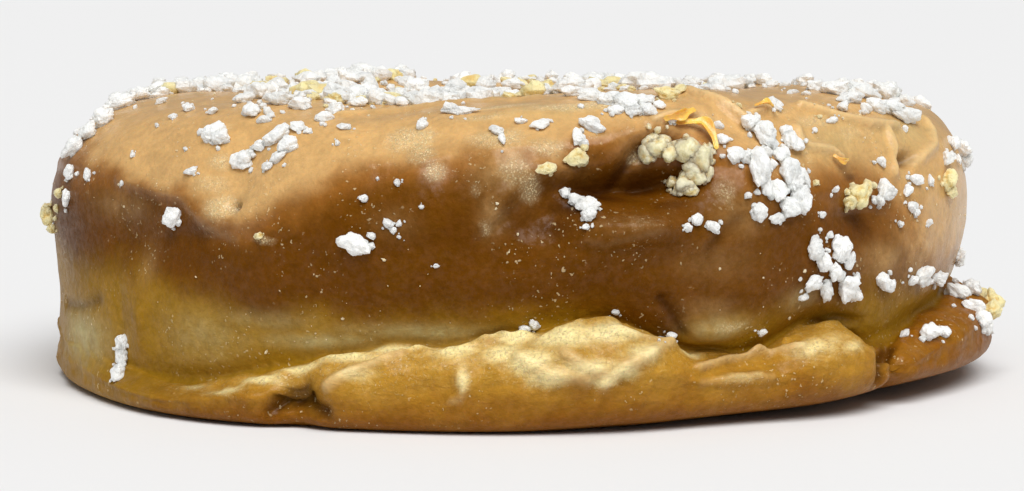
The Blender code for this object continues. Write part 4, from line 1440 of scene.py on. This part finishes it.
def bits_beside(table, draw):
    """Bits broken off each crumb of a table: pixels about its rim, each a small share of its size."""
    table = np.repeat(np.array(table, float), BITS_BESIDE, axis=0)
    turn = draw.uniform(0, 2 * np.pi, len(table))
    reach = draw.uniform(*BIT_AWAY, len(table))
    half = table[:, 2:4].min(axis=1) * draw.uniform(*BIT_SIZE, len(table))
    across = table[:, 0] + table[:, 2] * reach * np.cos(turn)
    down = table[:, 1] + table[:, 3] * reach * np.sin(turn)
    return np.column_stack((across, down, 1.2 * half, half, np.degrees(turn)))


def shown_meshes(size, table, lift, draw, melted=0.0):
    """The crumbs of a table: large ones in the finest detail, small ones in less, and bits beside them."""
    table = np.array(table, float)
    large = table[:, 2] * table[:, 3] >= LARGE_PIXELS
    bits = bits_beside(table, draw)
    kinds = (table[large], LARGE_DETAIL), (table[~large], SMALL_DETAIL), (bits, BIT_DETAIL)
    return [
        crumb_mesh(size, shown_crumbs(size, rows, draw), detail, lift, draw, melted) for rows, detail in kinds
    ]


def strewn_crumbs(size, draw, tries):
    """Azimuth, place, half-sizes and turn of crumbs strewn over the crown by the golden angle."""
    azimuth = (np.arange(tries) * GOLDEN_ANGLE) % 360 - 180
    outer = np.where(np.abs(azimuth) < STREWN_SHOWN_SIDE, STREWN_SHOWN_OUTER, STREWN_BACK_OUTER)
    radius = np.sqrt(STREWN_INNER**2 + draw.uniform(0, 1, tries) * (outer**2 - STREWN_INNER**2))
    place = place_at_radius(size, azimuth, radius)
    spots = bare_crust(size, azimuth, place)
    sparse = swells(BARE_STRETCHES, azimuth) / MM
    keep = named_noise(spots, STREWN_CLUSTERS) - sparse > draw.uniform(*STREWN_BAR, tries)
    half = STREWN_LEAST + STREWN_MORE * draw.uniform(0, 1, tries) ** 1.6
    sizes = np.column_stack((half * draw.uniform(1.0, 1.45, tries), half, 0.75 * half))
    turn = draw.uniform(0, np.pi, tries)
    return azimuth[keep], place[keep], sizes[keep], turn[keep]


class DOUGHNUT_OT_crumble(Operator):
    """Makes the white and the golden crumble"""

    bl_idname = "doughnut.crumble"
    bl_label = "Make crumble"

    def execute(self, context):
        size = settings(context.scene)
        draw = np.random.default_rng(CRUMBLE_SEED)
        strewn = strewn_crumbs(size, draw, size.strewn)
        golden = draw.uniform(0, 1, len(strewn[0])) < GOLDEN_SHARE
        for name, table, chosen, colours in (
            ("white_crumble", WHITE_CRUMBS, ~golden, (size.white, size.white_shade)),
            ("golden_crumble", GOLDEN_CRUMBS, golden, (size.gold, size.gold_shade)),
        ):
            shown = shown_meshes(size, table, CRUMB_LIFT, draw)
            others = crumb_mesh(size, [part[chosen] for part in strewn], STREWN_DETAIL, CRUMB_LIFT, draw)
            piece = mesh_object(name, *joined((*shown, others)), flat=True)
            finish_piece(piece, crumble_material(name, *colours))
        return {"FINISHED"}


class DOUGHNUT_OT_clump(Operator):
    """Makes the half-melted clump that hangs over the hollow"""

    bl_idname = "doughnut.clump"
    bl_label = "Make clump"

    def execute(self, context):
        size = settings(context.scene)
        draw = np.random.default_rng(CLUMP_SEED)
        crumbs = shown_meshes(size, CLUMP_CRUMBS, CLUMP_LIFT, draw, CLUMP_MELTED)
        piece = mesh_object("candied_clump", *joined(crumbs))
        finish_piece(piece, crumble_material("candied_clump", size.clump, size.clump_shade, **CLUMP_FINISH))
        return {"FINISHED"}


def strewn_grains(size, draw):
    """Azimuth, place, half-sizes and turn of tiny grains, thicker in patches of noise."""
    tries = size.grains
    azimuth = draw.uniform(-180, 180, tries)
    place = draw.uniform(CREASE + 0.6, THROAT_HIGH - 0.6, tries)
    spots = bare_crust(size, azimuth, place)
    keep = named_noise(spots, GRAIN_CLUSTERS) > draw.uniform(*GRAIN_BAR, tries)
    half = size.grain_size * (0.6 + 1.6 * draw.uniform(0, 1, tries) ** 4)
    sizes = np.column_stack((half * draw.uniform(1.0, 1.5, tries), half, 0.8 * half))
    turn = draw.uniform(0, np.pi, tries)
    return [values[keep] for values in (azimuth, place, sizes, turn)]


class DOUGHNUT_OT_grains(Operator):
    """Makes the tiny sugar grains"""

    bl_idname = "doughnut.grains"
    bl_label = "Make sugar grains"

    def execute(self, context):
        size = settings(context.scene)
        draw = np.random.default_rng(GRAIN_SEED)
        grains = crumb_mesh(size, strewn_grains(size, draw), GRAIN_DETAIL, GRAIN_LIFT, draw)
        piece = mesh_object("sugar_grains", *grains, flat=True)
        finish_piece(piece, crumble_material("sugar_grains", size.sugar, size.gold_shade))
        return {"FINISHED"}


def smooth_path(points, count):
    """Points along the open Catmull-Rom curve through a few given ones."""
    ends = np.concatenate(([2 * points[0] - points[1]], points, [2 * points[-1] - points[-2]]))
    at = np.linspace(0, len(points) - 1 - 1e-9, count)
    first = np.floor(at).astype(int)
    return cubic(*(ends[first + step] for step in range(4)), (at - first)[:, None])


def flake_points(path, normals, half_width):
    """A curled strip: a flat oval carried along a path, narrow at its ends, its sides turned up."""
    share = np.linspace(0, 1, len(path))[:, None]
    ahead = np.gradient(path, axis=0)
    ahead /= np.linalg.norm(ahead, axis=1, keepdims=True)
    side = np.cross(ahead, normals)
    side /= np.linalg.norm(side, axis=1, keepdims=True)
    outward = np.cross(side, ahead)
    turn = 2 * np.pi * np.arange(FLAKE_AROUND)[None] / FLAKE_AROUND
    arch = np.sin(np.pi * share)
    wave = 1 + FLAKE_WAVE * np.sin(FLAKE_WAVE_TURNS * share + FLAKE_WAVE_START)
    across = half_width * (arch**FLAKE_TAPER * wave + FLAKE_TIP) * np.cos(turn)
    swell = arch**FLAKE_SWELL + FLAKE_EDGE
    lift = FLAKE_HALF_THICKNESS * swell * np.sin(turn) + FLAKE_CURL * across**2 / half_width
    return path[:, None] + side[:, None] * across[..., None] + outward[:, None] * lift[..., None]


def tube_faces(rows, around):
    """Quads along a tube of rings, with rungs of quads between the two halves of each end ring."""
    index = np.arange(rows * around).reshape(rows, around)
    beside = np.roll(index, -1, axis=1)
    sides = np.stack((index[:-1], index[1:], beside[1:], beside[:-1]), axis=-1).reshape(-1, 4)
    near, far = np.arange(around // 2 - 1), np.arange(around - 1, around // 2, -1)
    rungs = np.stack((near, near + 1, far - 1, far), axis=-1)
    return np.concatenate((sides, index[0][rungs], index[-1][rungs][:, ::-1]))


class DOUGHNUT_OT_flakes(Operator):
    """Makes the curled caramel flakes"""

    bl_idname = "doughnut.flakes"
    bl_label = "Make flakes"

    def execute(self, context):
        size = settings(context.scene)
        points, faces, total = [], [], 0
        for route, half_width, stand in FLAKES:
            azimuth, place = spots_in_photo(size, route)
            outward = frame_on(crust, size, azimuth, place)[2]
            share = np.linspace(0, 1, len(route))[:, None]
            off = (FLAKE_GAP + stand * np.sin(np.pi * share)) * MM
            over = crust(size, azimuth, place) + outward * off
            path, normals = smooth_path(over, FLAKE_ALONG), smooth_path(outward, FLAKE_ALONG)
            strip = flake_points(path, normals, half_width * MM).reshape(-1, 3)
            points.append(strip)
            faces.append(tube_faces(FLAKE_ALONG, FLAKE_AROUND) + total)
            total += len(strip)
        piece = mesh_object("caramel_flakes", np.concatenate(points), np.concatenate(faces), {})
        finish_piece(piece, flake_material(size.flake))
        return {"FINISHED"}


class DOUGHNUT_OT_stage(Operator):
    """Makes the floor, the light and the camera"""

    bl_idname = "doughnut.stage"
    bl_label = "Make stage"

    def execute(self, context):
        scene, stage = context.scene, settings(context.scene)
        scene.view_settings.view_transform = "Standard"
        corners = np.array([(-1.0, -1.0), (1.0, -1.0), (1.0, 1.0), (-1.0, 1.0)]) * FLOOR_HALF
        corners = np.column_stack((corners, np.full(4, -FLOOR_GAP)))
        floor = mesh_object("floor", corners, np.array([[0, 1, 2, 3]]), {})
        floor.data.materials.append(new_material("floor", Roughness=0.8, Base_Color=stage.floor)[0])
        sun = bpy.data.lights.new("overhead", "SUN")
        sun.energy, sun.angle = stage.sun_strength, stage.sun_spread
        lamp = bpy.data.objects.new("overhead", sun)
        lamp.rotation_euler = SUN_TURN
        scene.collection.objects.link(lamp)
        world = bpy.data.worlds.new("room")
        world.use_nodes = True
        background = world.node_tree.nodes["Background"]
        background.inputs["Color"].default_value = (1.0, 1.0, 1.0, 1.0)
        background.inputs["Strength"].default_value = stage.fill_strength
        scene.world = world
        eye = bpy.data.cameras.new("eye")
        eye.sensor_width = SENSOR_MILLIMETRES
        eye.lens = eye.sensor_width * EYE_FOCAL / PHOTO_WIDTH
        camera = bpy.data.objects.new("eye", eye)
        camera.location = (RING_AXIS_X + stage.eye_offset, -stage.eye_distance, stage.eye_height)
        camera.rotation_euler = (math.pi / 2 - EYE_PITCH, 0.0, 0.0)
        scene.collection.objects.link(camera)
        scene.camera = camera
        return {"FINISHED"}


class DOUGHNUT_PT_panel(Panel):
    """The doughnut's sizes, colours and makers"""

    bl_idname = "DOUGHNUT_PT_panel"
    bl_label = "Kinako doughnut"
    bl_space_type = "VIEW_3D"
    bl_region_type = "UI"
    bl_category = "Doughnut"

    def draw(self, context):
        for group, operators in PANEL_ROWS:
            values = getattr(context.scene, group)
            box = self.layout.box()
            for name in type(values).__annotations__:
                box.prop(values, name)
            for operator in operators:
                box.operator(operator)


CLASSES = (
    DoughSettings,
    CrumbleSettings,
    StageSettings,
    DOUGHNUT_OT_dough,
    DOUGHNUT_OT_crumble,
    DOUGHNUT_OT_clump,
    DOUGHNUT_OT_grains,
    DOUGHNUT_OT_flakes,
    DOUGHNUT_OT_stage,
    DOUGHNUT_PT_panel,
)
SETTINGS = (
    ("dough_settings", DoughSettings),
    ("crumble_settings", CrumbleSettings),
    ("stage_settings", StageSettings),
)
PANEL_ROWS = (
    ("dough_settings", ("doughnut.dough",)),
    ("crumble_settings", ("doughnut.crumble", "doughnut.clump", "doughnut.grains", "doughnut.flakes")),
    ("stage_settings", ("doughnut.stage",)),
)


def register():
    """Adds the settings, the makers and the panel."""
    for kind in CLASSES:
        bpy.utils.register_class(kind)
    for name, kind in SETTINGS:
        setattr(bpy.types.Scene, name, PointerProperty(type=kind))


def unregister():
    """Takes them away again."""
    for name, _ in SETTINGS:
        delattr(bpy.types.Scene, name)
    for kind in reversed(CLASSES):
        bpy.utils.unregister_class(kind)


def main():
    """Makes every piece in turn."""
    register()
    bpy.ops.doughnut.dough()
    bpy.ops.doughnut.crumble()
    bpy.ops.doughnut.clump()
    bpy.ops.doughnut.grains()
    bpy.ops.doughnut.flakes()
    bpy.ops.doughnut.stage()


if __name__ == "__main__":
    main()
